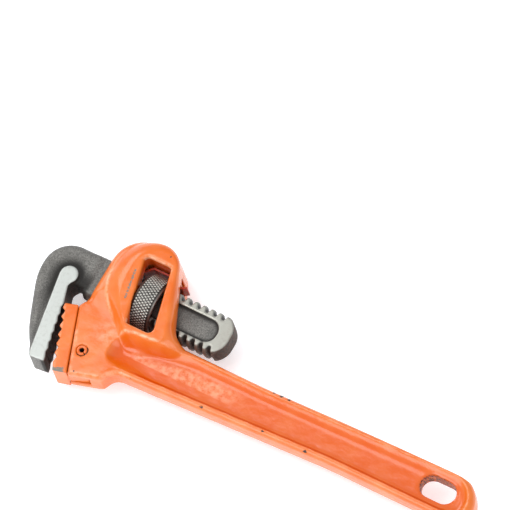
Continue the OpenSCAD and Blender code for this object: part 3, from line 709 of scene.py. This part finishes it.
wear = {
    # Each chip's place and size, and the lowest z that the chips above and below the handle reach
    "chips": ((0.7, 19.3, 0.5), (-12.8, -43.1, 0.5), (10.4, -35.0, 0.6), (44.6, -32.6, 0.7),
              (74.2, -30.7, 0.75), (95.1, -30.8, 1.0), (141.8, -30.9, 0.9), (73.3, -12.9, 1.0),
              (77.1, -12.9, 0.9), (69.6, -12.9, 0.7)),
    "upperChipZ": 1.5, "lowerChipZ": 4.0,
    # Two ends of the scuff on the cheek, the width and turn of the dark crescent painted as shade in the gap
    # round the pin, and how far the hang hole's wall is mixed to dark iron
    "scuff": ((-10.2, 7.6), (-7.6, -5.5)), "scuffWidth": 0.75, "scuffBare": 0.6,
    "pinGap": 0.5, "pinShadeTurn": -35.0, "holeWallDark": 0.5,
    # How strong the painted shade is: a deeper orange along the web's lower corner, on the sunk web and
    # inside the window
    "valleyShadeAmount": 0.95, "webShadeAmount": 0.42, "windowShadeAmount": 0.6,
    # How strong the painted highlight is along each of these lines and patches
    "creaseHighlight": 0.8, "ridgeHighlight": 0.85, "rimHighlight": 0.6, "lipHighlight": 1.0, "sweepHighlight": 0.55, "sideHighlight": 0.4,
}


def castingMarks(points, loops):
    # How far the paint is chipped or rubbed at each point, and where shade and highlights are painted on it:
    # bells and ramps of the distances to the chips, the scuff, the pin, the hang hole and the outlines
    x, y, z = points.T
    body, foot, web, window = (loopDistance(loops[name], x, y) for name in ("body", "foot", "web", "window"))
    chip = np.zeros(len(points))
    for chipX, chipY, size in wear["chips"]:
        near = np.clip(1.3 - np.hypot(x - chipX, y - chipY) / size, 0, 1)
        lowest = wear["upperChipZ"] if chipY > -20 else wear["lowerChipZ"]
        chip = np.maximum(chip, near * ramp(z - lowest))
    # Painted shade: a dark crescent of bare iron colour in the gap round the pin, on one side only
    fromPin = pinDistance(x, y)
    facing = np.cos(np.arctan2(y - pinAt[1], x - pinAt[0]) - math.radians(wear["pinShadeTurn"]))
    chip = np.maximum(chip, ramp(1.5 - fromPin / wear["pinGap"]) * ramp(facing * 1.6 + 0.4) * (fromPin < 1))
    # The hang hole's wall, below the face, is mixed part way to the dark iron colour
    holeWall = ramp((casting["hangWidth"] / 2 + 0.5 - hangDistance(x, y)) / 0.4) * ramp((5.5 - z) / 1.5)
    chip = np.maximum(chip, wear["holeWallDark"] * holeWall)
    (ax, ay), (bx, by) = wear["scuff"]
    t = np.clip(((x - ax) * (bx - ax) + (y - ay) * (by - ay)) / ((bx - ax) ** 2 + (by - ay) ** 2), 0, 1)
    away = np.hypot(x - ax - t * (bx - ax), y - ay - t * (by - ay)) / wear["scuffWidth"]
    worn = wear["scuffBare"] * np.clip(1.4 - away, 0, 1) * (np.abs(z) > cheekHalf - 2.5)
    # Painted shade: a deeper orange in the web's lower corner, on the sunk web and inside the window
    valleyShade = bell(-web, 0.9, 0.8) * (y < -24) * ramp((np.abs(z) - 2) / 2) * ramp((x - 4) / 10)
    sunk = ramp(-web / 3) * (np.abs(z) > 2)
    inside = (window < 0.1) * (np.abs(z) < cheekHalf - 2)
    hollow = np.maximum.reduce([
        wear["valleyShadeAmount"] * valleyShade, wear["webShadeAmount"] * sunk, wear["windowShadeAmount"] * inside])
    # Painted highlight: paler lines along the cheek's foot, the ridge under the window, the rims and the lips
    crease = bell(foot, 0, 0.7) * ramp((-8 - x) / 4) * ramp((8 - y) / 6)
    ridge = bell(web, 0.3, 0.6) * (y > -21) * ramp((x + 5) / 3) * ramp((24 - x) / 12)
    rim = bell(web, 0.2, 0.45) * ramp((x - 14) / 6) * mix(0.25, 0.5, y > -24)
    rim = np.maximum(rim, bell(body, -0.9, 0.8) * ramp((-24 - y) / 3) * ramp((12 - x) / 6))
    lip = bell(window, 0, 0.6) * np.maximum(y > 13.5, 0.7 * (y < -13.5)) * (np.abs(z) > cheekHalf - 2)
    # and in ragged patches at the foot of the sweep and on the head beside it
    sweep = bell(-web, 7.2, 2.2) * (y > -26) * ramp((x - 2) / 6) * ramp((62 - x) / 14)
    side = bell(np.hypot(x + 8, y + 22), 0, 5.5) * (web > 0)
    paintedHighlight = np.maximum.reduce([
        wear["creaseHighlight"] * crease, wear["ridgeHighlight"] * ridge, wear["rimHighlight"] * rim, wear["lipHighlight"] * lip,
        wear["sweepHighlight"] * sweep, wear["sideHighlight"] * side])
    return {"chip": chip, "worn": worn, "hollow": hollow, "paintedHighlight": paintedHighlight * (np.abs(z) > 3.2)}


points, faces, marks = makeCasting()
newPiece("handleCasting", points, faces, enamelFinish, "handle", ["handle_body"], marks)

# Heel jaw: a toothed block with a tang behind it

heel = {
    "firstTooth": 1.2, "toe": 3.0, "seatGap": 0.2, "edge": 0.35, "step": 0.3,
    "tangTop": 5.0, "tangEnd": 30.6, "tangReach": 9.0, "tangHalf": 2.9, "tangEdge": 0.3, "tangFillet": 0.2,
    "toeWear": 0.75, "tipWear": 0.4, "toothEdgeHighlight": 0.35,
}


def heelLoops():
    # Outlines of the block, with a point at each tooth's tip and root, and of its tang
    count = int((jaw["heelLength"] - heel["toe"]) / jaw["toothPitch"])
    teeth = []
    for i in range(count):
        u = heel["firstTooth"] + i * jaw["toothPitch"]
        root = u + jaw["toothLean"] * jaw["toothPitch"]
        teeth += [[*heelPoint(u, jaw["heelDepth"]), 0],
                  [*heelPoint(root, jaw["heelDepth"] - jaw["toothDepth"]), jaw["toothRoot"]]]
    lastTip = heel["firstTooth"] + count * jaw["toothPitch"]
    block = roundedLoop([
        [*heelPoint(-0.6, heel["seatGap"]), 0.4], [*heelPoint(-1, jaw["heelDepth"] - 0.6), 0.8], *teeth,
        [*heelPoint(lastTip, jaw["heelDepth"]), 0.3],
        [*heelPoint(jaw["heelLength"] - 0.6, jaw["heelDepth"] - 0.4), 0.3],
        [*heelPoint(jaw["heelLength"], heel["seatGap"]), 0.4],
    ])
    tang = roundedLoop([
        [*heelPoint(heel["tangTop"], 1), 0], [*heelPoint(heel["tangTop"], -heel["tangReach"]), 1],
        [*heelPoint(heel["tangEnd"], -heel["tangReach"]), 1], [*heelPoint(heel["tangEnd"], 1), 0],
    ])
    return block, tang


def makeHeel():
    # The block and the narrower tang, each an outline within a thickness, joined by a small fillet
    # and less the pin's bore
    block, tang = heelLoops()
    xs, ys, zs = gridAxes(heelLow, heelHigh, heel["step"])
    x, y = np.meshgrid(xs, ys, indexing="ij")
    z = zs[None, None, :]
    solid = roundMax(loopDistance(block, x, y)[:, :, None], np.abs(z) - heelHigh[2], heel["edge"])
    tang = roundMax(loopDistance(tang, x, y)[:, :, None], np.abs(z) - heel["tangHalf"], heel["tangEdge"])
    solid = roundMin(solid, tang, heel["tangFillet"])
    solid = cut(solid, pinDistance(x, y)[:, :, None] - jaw["pinGap"])
    points, faces = netSurface(solid, (xs, ys, zs))
    return points, faces, heelMarks(points)


def heelMarks(points):
    # Paint rubbed off the toe and the tooth tips, and a pale highlight painted along the edges of the teeth,
    # by ramps of how far down and out of the seat each point lies
    u, v = heelFrame(points[:, 0], points[:, 1])
    side = np.abs(points[:, 2]) - heelHigh[2]
    toe = ramp((u - jaw["heelLength"] + 3.2) / 1.6) * ramp((v - 0.6) / 1.5) * ramp((side + 0.9) / 0.5)
    tips = ramp((v - jaw["heelDepth"] + 0.5) / 0.5)
    rows = ramp((v - jaw["heelDepth"] + 1.6) / 0.4) * (side > -1)
    none = np.zeros(len(points))
    return {"chip": none, "worn": np.maximum(heel["toeWear"] * toe, heel["tipWear"] * tips), "hollow": none,
            "paintedHighlight": heel["toothEdgeHighlight"] * rows}


points, faces, marks = makeHeel()
newPiece("heelJawBlock", points, faces, enamelFinish, "handle", ["heel_jaw"], marks)

# Rolled pin that holds the heel jaw

rolledPin = {"wall": 1.4, "gapAngle": 0.22, "gapTurn": -30.0, "chamfer": 0.35, "around": 72,
             "boreShade": 0.8, "paintPool": 0.25}


def makePin():
    # A strip rolled to a ring with a gap: the outer wall goes along z, smaller by the chamfer at both
    # ends, and comes back as the inner wall, and the two sides of the gap are filled
    radius, half = pinHigh[0] - pinAt[0], pinHigh[2]
    chamfer, gap = rolledPin["chamfer"], rolledPin["gapAngle"] / 2
    turn = math.radians(rolledPin["gapTurn"]) + np.linspace(gap, 2 * math.pi - gap, rolledPin["around"])
    zs = np.array([-half, -half + chamfer, half - chamfer, half])[:, None]
    pinch = np.array([chamfer, 0, 0, chamfer])[:, None]
    outer, inner = radius - pinch, radius - rolledPin["wall"] + 0.6 * pinch
    walls = [np.stack([size * np.cos(turn), size * np.sin(turn), zs + 0 * turn], -1)
             for size in (outer, inner)]
    points, faces = gridSurface(np.concatenate([walls[0], walls[1][::-1]]), True, False)
    columns = len(turn)
    firstSide = [row * columns for row in range(7, -1, -1)]
    lastSide = [row * columns + columns - 1 for row in range(8)]
    sides = [[side[7 - i], side[6 - i], side[i + 1], side[i]]
             for side in (firstSide, lastSide) for i in range(3)]
    # Painted shade: the inside of the bore is drawn as dark bare iron
    inBore = np.hypot(points[:, 0], points[:, 1]) < radius - rolledPin["wall"] / 2
    dark = rolledPin["boreShade"] * inBore * (np.abs(points[:, 2]) < half - 0.1)
    none = np.zeros(len(points))
    marks = {"chip": dark, "worn": none, "hollow": none + rolledPin["paintPool"], "paintedHighlight": none}
    return points + np.array([*pinAt, 0]), np.concatenate([faces, np.array(sides)]), marks


points, faces, marks = makePin()
newPiece("rolledPin", points, faces, enamelFinish, "handle", ["heel_jaw_pin"], marks)

# Hook jaw: hook and threaded shank, one forging

hook = {
    # Hook: its back, tip and half thickness, its edge's radius, its throat, how far the teeth fade at
    # the faces, and the ground band with the lobe at its end and the moat round it
    "back": 9.1, "tipWidth": 6.8, "tipRadii": (1.4, 0.8), "half": 6.2, "edge": 3.0, "tipEase": 0.15,
    "throatDrop": (-3.0, -7.6), "toothFade": 0.55, "bandWidth": 7.4, "lobeShift": (-1.5, 2.4),
    "lobeRadius": 4.2, "moatAway": 1.6, "moatTip": 0.45, "moatThroat": 1.1,
    # Where the hook ends and the shank begins, and the shank's flats, thread and end
    "root": -26.0, "shankHalf": 5.2, "threadRadius": 10.0, "threadDepth": 2.0, "pitch": 4.0,
    "grooveHalf": 0.6, "flank": 0.35, "firstGroove": -9.0, "plainEnd": 4.6, "endRadius": 8.6,
    "flatEdge": 0.25, "endEdge": 0.7, "grooveCorner": 0.45, "grooveEdge": 0.3,
    # Recess in each of the shank's flats
    "recessFloor": 3.6, "recessShift": -0.6, "recessHalf": 5.45, "recessStart": -18.0, "recessWall": 6.2,
    "recessCorner": 1.2, "recessEdge": 0.35,
    # How dark the shade painted round the band, in the throat, at the recess's edge and on the teeth is, and
    # how dark the thread's roots are
    "haloShade": 0.95, "throatShade": 0.9, "rootDark": 0.75, "wellShade": 0.85, "teethShade": 0.95,
    # How bright the thread's crests are, how rusty the end is, and the grid's step
    "crestBright": 0.7, "endRust": 0.5, "step": 0.34,
}
hookReach, hookDrop = -hookLow[0], -hookLow[1]
shankReach, bandHalf = hookHigh[0], hookHigh[2]
hookLength = (hookDrop - jaw["hookTip"] + jaw["hookFoot"][1]) / math.cos(math.radians(jaw["hookAngle"]))
throat = (jaw["hookFoot"][0] + hook["throatDrop"][0], hook["throatDrop"][1])
lobe = (throat[0] + hook["lobeShift"][0], throat[1] + hook["lobeShift"][1])


def hookLoops():
    # Outlines of the hook with its teeth and without them, and of the ground band, which ends in a
    # round lobe at the throat
    tip, foot = hookPoint(hookLength, 0), jaw["hookFoot"]
    teeth = []
    for i in range(int((hookLength - jaw["tipLand"]) / jaw["toothPitch"])):
        u = hookLength - jaw["tipLand"] - i * jaw["toothPitch"]
        root = hookPoint(u - (1 - jaw["toothLean"]) * jaw["toothPitch"], -jaw["toothDepth"])
        teeth += [[*hookPoint(u, 0), hook["tipEase"]], [*root, jaw["toothRoot"]]]
    teeth.append([*hookPoint(u - jaw["toothPitch"], 0), 0.3])
    toothed, plain = (roundedLoop([
        [hook["root"] + 12, hook["back"], 0], [-hookReach + 0.3, hook["back"], 12.5], [-hookReach, -9.5, 25],
        [-hookReach + 9.2, -33.1, 40], [tip[0] - hook["tipWidth"], -hookDrop, corner], [*tip, 0.4],
        *row, [*foot, 3], [*throat, 2.2], [hook["root"] + 12, throat[1] - 0.2, 0],
    ]) for row, corner in zip((teeth, []), hook["tipRadii"]))
    turns = np.radians(np.arange(170, -50, -12))
    lobeRow = np.stack([lobe[0] + hook["lobeRadius"] * np.cos(turns),
                        lobe[1] + hook["lobeRadius"] * np.sin(turns), 0 * turns], 1)
    band = roundedLoop([
        [tip[0] + 4, tip[1] - 1, 0], [*hookPoint(hookLength + 1.5, -hook["bandWidth"] + 0.6), 0],
        [*hookPoint(hookLength - 3, -hook["bandWidth"]), 4], [lobe[0] - hook["lobeRadius"], lobe[1] - 1, 0.2],
        *lobeRow, [throat[0] + 3, throat[1] - 3, 0], [foot[0] + 4, foot[1] - 2, 0],
    ])
    return toothed, plain, band


def recessLoop():
    # Outline of the recess in the shank's flat: a box with round corners
    end = shankReach - hook["recessWall"]
    low, high = hook["recessShift"] - hook["recessHalf"], hook["recessShift"] + hook["recessHalf"]
    return roundedLoop([[hook["recessStart"], high, 4], [end, high, 5], [end, low, 5],
                        [hook["recessStart"], low, 4]])


def hookHeight(x, y, band):
    # Height of the hook's face: flat, less a bell round the ground band, mixed up to the band itself
    # and down to the shank's flat
    near = ramp((y + 26) / 14)
    moat = mix(hook["moatTip"], hook["moatThroat"], near) * bell(band, hook["moatAway"], mix(1.4, 2.6, near))
    height = hook["half"] - moat * (band > -1)
    height = mix(height, bandHalf, ramp(-band / 0.7 + 0.5))
    return mix(height, hook["shankHalf"] - 0.02, ramp((x - hook["root"] + 4) / 4) * ramp((y + 22) / 4))


def shankField(x2, y2, z):
    # A round bar with two flats and a round end, less a groove that follows a helix, whose walls lean
    # with its depth, and less the two recesses
    x, y = x2[:, :, None], y2[:, :, None]
    reach = hook["threadRadius"]
    outline = loopDistance(roundedLoop([
        [hook["root"] - 3, reach, 0], [shankReach, reach, hook["endRadius"]],
        [shankReach, -reach, hook["endRadius"]], [hook["root"] - 3, -reach, 0]]), x2, y2)
    radius = np.hypot(y, z)
    bar = roundMax(radius - reach, np.abs(z) - hook["shankHalf"], hook["flatEdge"])
    bar = roundMax(bar, outline[:, :, None], hook["endEdge"])
    phase = (x / hook["pitch"] - np.arctan2(z, y) / (2 * math.pi) + 0.5) % 1 - 0.5
    depth = radius - reach + hook["threadDepth"]
    walls = np.abs(phase * hook["pitch"]) - hook["grooveHalf"] - hook["flank"] * depth
    groove = roundMax(-depth, walls / 1.06, hook["grooveCorner"])   # 1.06 for the walls' lean
    groove = np.maximum(groove, hook["firstGroove"] - x)
    groove = np.maximum(groove, x - shankReach + hook["plainEnd"])
    bar = cut(bar, groove, hook["grooveEdge"])
    recess = loopDistance(recessLoop(), x2, y2)
    floor = hook["recessFloor"] + 0.35 * ramp(-recess / 5)
    dish = roundMax(recess[:, :, None], floor[:, :, None] - np.abs(z), hook["recessCorner"])
    return cut(bar, dish, hook["recessEdge"])


def makeHook():
    # The overlap of the space between the hook's faces with its outline, whose teeth fade towards
    # the faces, joined with the shank
    toothedLoop, plainLoop, bandLoop = hookLoops()
    xs, ys, zs = gridAxes(hookLow, hookHigh, hook["step"])
    x2, y2 = np.meshgrid(xs, ys, indexing="ij")
    z = zs[None, None, :]
    toothed, plain = loopDistance(toothedLoop, x2, y2), loopDistance(plainLoop, x2, y2)
    outline = mix(toothed[:, :, None], plain[:, :, None], hook["toothFade"] * ramp((np.abs(z) - 4.6) / 1.6))
    band = loopDistance(bandLoop, x2, y2)
    height = hookHeight(x2, y2, band)
    # The edge is sharp along the band, rounder round the hook's back, and sharper at the shank and tip
    edge = mix(0.35, hook["edge"] + 1.2 * ramp((-y2 - 18) / 16), ramp((band + 0.3) / 2.5))
    edge = edge * mix(1.0, 0.55, ramp((x2 - hook["root"] + 8) / 8))
    edge = edge * mix(0.25, 1.0, ramp((y2 + hookDrop) / 7))
    faces = (np.abs(z) - height[:, :, None]) / slopeFix(height, xs, ys)[:, :, None]
    head = roundMax(faces, outline, edge[:, :, None])
    head = np.maximum(head, x2[:, :, None] - hook["root"])
    points, faces = netSurface(np.minimum(head, shankField(x2, y2, z)), (xs, ys, zs))
    return points, faces, hookMarks(points, bandLoop)


def hookMarks(points, bandLoop):
    # Ground faces, shade painted round the band, in the throat, at the recess's edge and on the teeth's
    # flanks, darker thread roots, and a trace of rust on the shank's end, by bells and ramps of the distances
    # to the band, the throat, the thread, the recess and the teeth
    x, y, z = points.T
    band, recess = loopDistance(bandLoop, x, y), loopDistance(recessLoop(), x, y)
    radius = np.hypot(y, z)
    onBand = ramp((np.abs(z) - bandHalf + 0.35) / 0.2)
    onShank = ramp((x - hook["root"] + 2) / 2)
    rubbed = ramp((x + 13) / 5)
    flat = rubbed * ramp((np.abs(z) - hook["shankHalf"] + 0.35) / 0.25) * (recess > -0.3)
    crest = rubbed * ramp((radius - hook["threadRadius"] + 0.5) / 0.4)
    near = ramp((y + 26) / 14)
    # Painted shade: a dark halo round the band's lobe, a dark throat, a dark line inside the recess's edge
    # and dark tooth flanks
    halo = bell(band, 1.2, mix(1.1, 2.3, near)) * mix(0.4, hook["haloShade"], near) * (band > 0)
    throatSide = hook["throatShade"] * ramp(1.6 - np.hypot(x - throat[0] - 4, y - throat[1] + 1) / 7)
    root = ramp((hook["threadRadius"] - 0.7 - radius) / 1.2) * (np.abs(z) < hook["shankHalf"] - 0.4)
    well = bell(recess, -0.5, 0.9) * (np.abs(z) < hook["shankHalf"] - 0.5)
    lean = math.radians(jaw["hookAngle"])
    front = (x - jaw["hookFoot"][0]) * math.cos(lean) + (y - jaw["hookFoot"][1]) * math.sin(lean)
    teeth = ramp(front / 1.2 + 2) * ramp((jaw["hookFoot"][1] + 1 - y) / 2)
    teeth = teeth * ramp((bandHalf - 0.8 - np.abs(z)) / 0.5)
    shadeAndGrime = np.maximum.reduce([
        (1 - onShank) * halo, (1 - onShank) * throatSide, hook["rootDark"] * onShank * root * (recess > 0.6),
        hook["wellShade"] * onShank * well, hook["teethShade"] * teeth])
    rust = hook["endRust"] * ramp((x - shankReach + 5) / 3)
    return {"ground": np.maximum.reduce([onBand, flat, hook["crestBright"] * crest]), "bright": onBand,
            "shadeAndGrime": np.clip(shadeAndGrime, 0, 1) * (1 - onBand) * (1 - 0.9 * flat), "rust": rust * (1 - 0.8 * flat)}


points, faces, marks = makeHook()
newPiece("hookJawForging", points, faces, forgedFinish, "hook", ["hook_jaw"], marks)

# Adjusting nut

nut = {
    "knurlPitch": 1.22, "knurlDepth": 0.34, "knurlAngle": 32.0, "chamfer": 0.9, "ease": 0.08,
    "bore": 10.35, "crest": 8.35, "pitch": 4.0, "ridgeHalf": 0.42, "flank": 0.35,
    "around": 640, "rimSteps": 56, "boreSteps": 60,
}


def nutProfile():
    # Half of the nut's section as rows of place along the shank and radius: across the chamfered rim
    # one way, and back through the bore
    half, chamfer, ease, bore = nutHigh[0], nut["chamfer"], nut["ease"], nut["bore"]
    rim = np.linspace(-half + chamfer, half - chamfer, nut["rimSteps"])
    back = np.linspace(half - 0.6, -half + 0.6, nut["boreSteps"])
    return np.concatenate([
        [(-half, nutRadius - chamfer - ease), (-half + ease, nutRadius - chamfer)],
        np.stack([rim, 0 * rim + nutRadius], 1),
        [(half - ease, nutRadius - chamfer), (half, nutRadius - chamfer - ease)],
        [(half, bore + 0.6), (half - 0.35, bore + 0.25)],
        np.stack([back, 0 * back + bore], 1),
        [(-half + 0.35, bore + 0.25), (-half, bore + 0.6)],
    ])


def makeNut():
    # The profile turned about the shank. On the rim the radius falls with the deeper of two saw waves
    # that cross, which leaves diamonds, and in the bore it falls along a helix to one ridge of thread
    half = nutHigh[0]
    across, out = nutProfile().T[:, :, None]
    turn = np.linspace(0, 2 * math.pi, nut["around"], endpoint=False)
    onRim = (out > nutRadius - 0.01) & (np.abs(across) < half)
    inBore = out < nut["bore"] + 0.01
    girth = 2 * math.pi * nutRadius
    starts = round(girth * math.cos(math.radians(nut["knurlAngle"])) / nut["knurlPitch"])
    lead = across * math.tan(math.radians(nut["knurlAngle"])) / girth
    saws = [np.abs(((turn / (2 * math.pi) + side * lead) * starts) % 1 - 0.5) * 2 for side in (1, -1)]
    tip = np.clip((1 - np.maximum(*saws)) * 1.5, 0, 1) * ramp((half - nut["chamfer"] - np.abs(across)) / 0.25)
    radius = np.where(onRim, out - nut["knurlDepth"] * (1 - tip), out)
    phase = ((across / nut["pitch"] - turn / (2 * math.pi) + 0.5) % 1 - 0.5) * nut["pitch"]
    tall = nut["bore"] - nut["crest"]
    ridge = np.clip((nut["ridgeHalf"] - np.abs(phase)) / nut["flank"] + tall, 0, tall)
    ridge = ridge * ramp((half - 0.5 - np.abs(across)) / 0.5)
    radius = np.where(inBore, nut["bore"] - ridge, radius)
    rings = np.stack([across + 0 * turn, radius * np.cos(turn), radius * np.sin(turn)], -1)
    points, faces = gridSurface(rings, True, True)
    marks = {"tip": (tip * onRim).ravel(), "plain": np.broadcast_to(~onRim, tip.shape).ravel()}
    return points, faces, marks


points, faces, marks = makeNut()
newPiece("knurledNut", points, faces, nutFinish, "nut", ["adjusting_nut"], marks)

# Springs: the coil is new, and the leaf and its rivet are the frame's own with a finish

wire = {"thick": 0.8, "turns": 5, "deadTurn": 0.75, "around": 12, "steps": 44, "endTurn": 0.025}


def makeCoil():
    # Round wire carried along a helix that stops rising over its first and last part-turns, and
    # rounded off at both ends
    half = wire["thick"] / 2
    low, high, radius = coilLow[1] + half, coilHigh[1] - half, (coilHigh[2] - coilLow[2]) / 2 - half
    t = np.linspace(0, wire["turns"], wire["turns"] * wire["steps"])
    rise = np.clip((t - wire["deadTurn"] / 2) / (wire["turns"] - wire["deadTurn"]), 0, 1)
    turn = 2 * math.pi * t
    outward = np.stack([np.cos(turn), 0 * turn, np.sin(turn)], 1)
    middle = np.stack([0 * t + (coilLow[0] + coilHigh[0]) / 2, mix(low, high, rise), 0 * t], 1)
    toEnd = np.clip(1 - np.minimum(t, wire["turns"] - t) / wire["endTurn"], 0, 0.999)
    size = half * np.sqrt(1 - toEnd ** 2)[:, None, None]
    around = np.linspace(0, 2 * math.pi, wire["around"], endpoint=False)[None, :, None]
    section = np.cos(around) * outward[:, None] + np.sin(around) * np.array([0, 1.0, 0])
    rings = (middle + radius * outward)[:, None] + size * section
    points, faces = gridSurface(rings, False, True)
    firstCap = [[0, k + 2, k + 1, k] for k in range(1, wire["around"] - 2, 2)]
    last = len(points) - wire["around"]
    lastCap = [[last + corner for corner in face[::-1]] for face in firstCap]
    return points, np.concatenate([faces, np.array(firstCap + lastCap)])


points, faces = makeCoil()
newPiece("coilSpringWire", points, faces, springFinish, "spring_set", ["coil_spring"])

for name, finish in (("flat_spring", paintedSpringFinish), ("spring_rivet", springFinish)):
    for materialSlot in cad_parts[name].material_slots:
        materialSlot.material = finish
print("springs finished")

# Floor, light and camera

studio = {
    "floor": "f5f6f7", "floorShade": "f2f3f5", "floorGlow": "f4f6fa", "glow": 0.35, "floorReach": 3.0,
    "cloudSize": 60.0, "sky": 0.87, "skyColour": (0.96, 0.98, 1.0, 1),
    # Each lamp's place and width in metres, and its power in watts
    "lamps": {"keyLamp": ((-0.33, -0.06, 0.94), 0.6, 3.2), "sideLamp": ((-0.8, 0.3, 0.52), 0.5, 2.1),
              "rightLamp": ((0.75, -0.1, 0.6), 0.6, 1.8), "frontLamp": ((-0.33, -0.88, 0.36), 0.6, 3.5)},
    # The view's right and top, its middle along them from the nut and its width in millimetres, and
    # the angle of the lens
    "right": (0.8533, 0.4971, -0.1576), "up": (-0.4062, 0.823, 0.3968), "aim": (43.9, 21.8),
    "viewWidth": 217.6, "viewAngle": 1.2,
}


def makeFloor():
    # A pale square board that the wrench lies on
    reach, z = studio["floorReach"], cadBox[0].z
    mesh = bpy.data.meshes.new("floor")
    mesh.from_pydata([(-reach, -reach, z), (reach, -reach, z), (reach, reach, z), (-reach, reach, z)], [],
                     [(0, 1, 2, 3)])
    floor = bpy.data.objects.new("floor", mesh)
    finish, tree, shader, spot = newFinish("paleBoard", Roughness=0.7, Emission_Strength=studio["glow"],
                                           Emission_Color=linear(studio["floorGlow"]))
    clouds = addNode(tree, "TexNoise", {"Vector": spot, "Scale": 1 / studio["cloudSize"]}, "Fac")
    shade = addNode(tree, "Mix", {0: clouds, 6: linear(studio["floor"]), 7: linear(studio["floorShade"])}, 2,
                    data_type="RGBA")
    tree.links.new(shade, shader.inputs["Base Color"])
    mesh.materials.append(finish)
    bpy.context.collection.objects.link(floor)


def makeLights():
    # An even sky, and large soft lamps that each look at the wrench
    world = bpy.data.worlds.new("studioLight")
    world.use_nodes = True
    sky = world.node_tree.nodes["Background"]
    sky.inputs["Color"].default_value = studio["skyColour"]
    sky.inputs["Strength"].default_value = studio["sky"]
    bpy.context.scene.world = world
    for name, (place, width, power) in studio["lamps"].items():
        lamp = bpy.data.lights.new(name, "AREA")
        lamp.shape = "DISK"
        lamp.size = width
        lamp.energy = power
        light = bpy.data.objects.new(name, lamp)
        light.location = place
        light.rotation_euler = (-light.location).to_track_quat("-Z", "Y").to_euler()
        bpy.context.collection.objects.link(light)


def makeCamera():
    # Looks down on the wrench from beyond its underside, so that the handle runs to the lower right.
    # It stands as far back as half the view's width over the tangent of half the lens's angle.
    right, up = unit(np.array(studio["right"])), np.array(studio["up"])
    up = unit(up - right * (up @ right))
    aim = studio["aim"][0] * right + studio["aim"][1] * up
    back = np.cross(right, up)
    distance = studio["viewWidth"] / 2 / math.tan(math.radians(studio["viewAngle"] / 2))
    camera = bpy.data.objects.new("camera", bpy.data.cameras.new("camera"))
    camera.data.angle = math.radians(studio["viewAngle"])
    camera.data.clip_start = 0.05
    camera.data.clip_end = 20
    bpy.context.collection.objects.link(camera)
    turn = np.eye(4)
    turn[:3, :3] = np.stack([right, up, back], 1)
    turn[:3, 3] = (nutCentre + aim + back * distance) * mm
    camera.matrix_world = turn.T.tolist()   # a plain list is read column by column
    bpy.context.scene.camera = camera


makeFloor()
makeLights()
makeCamera()
bpy.context.scene.view_settings.view_transform = "Standard"
print("stage set")
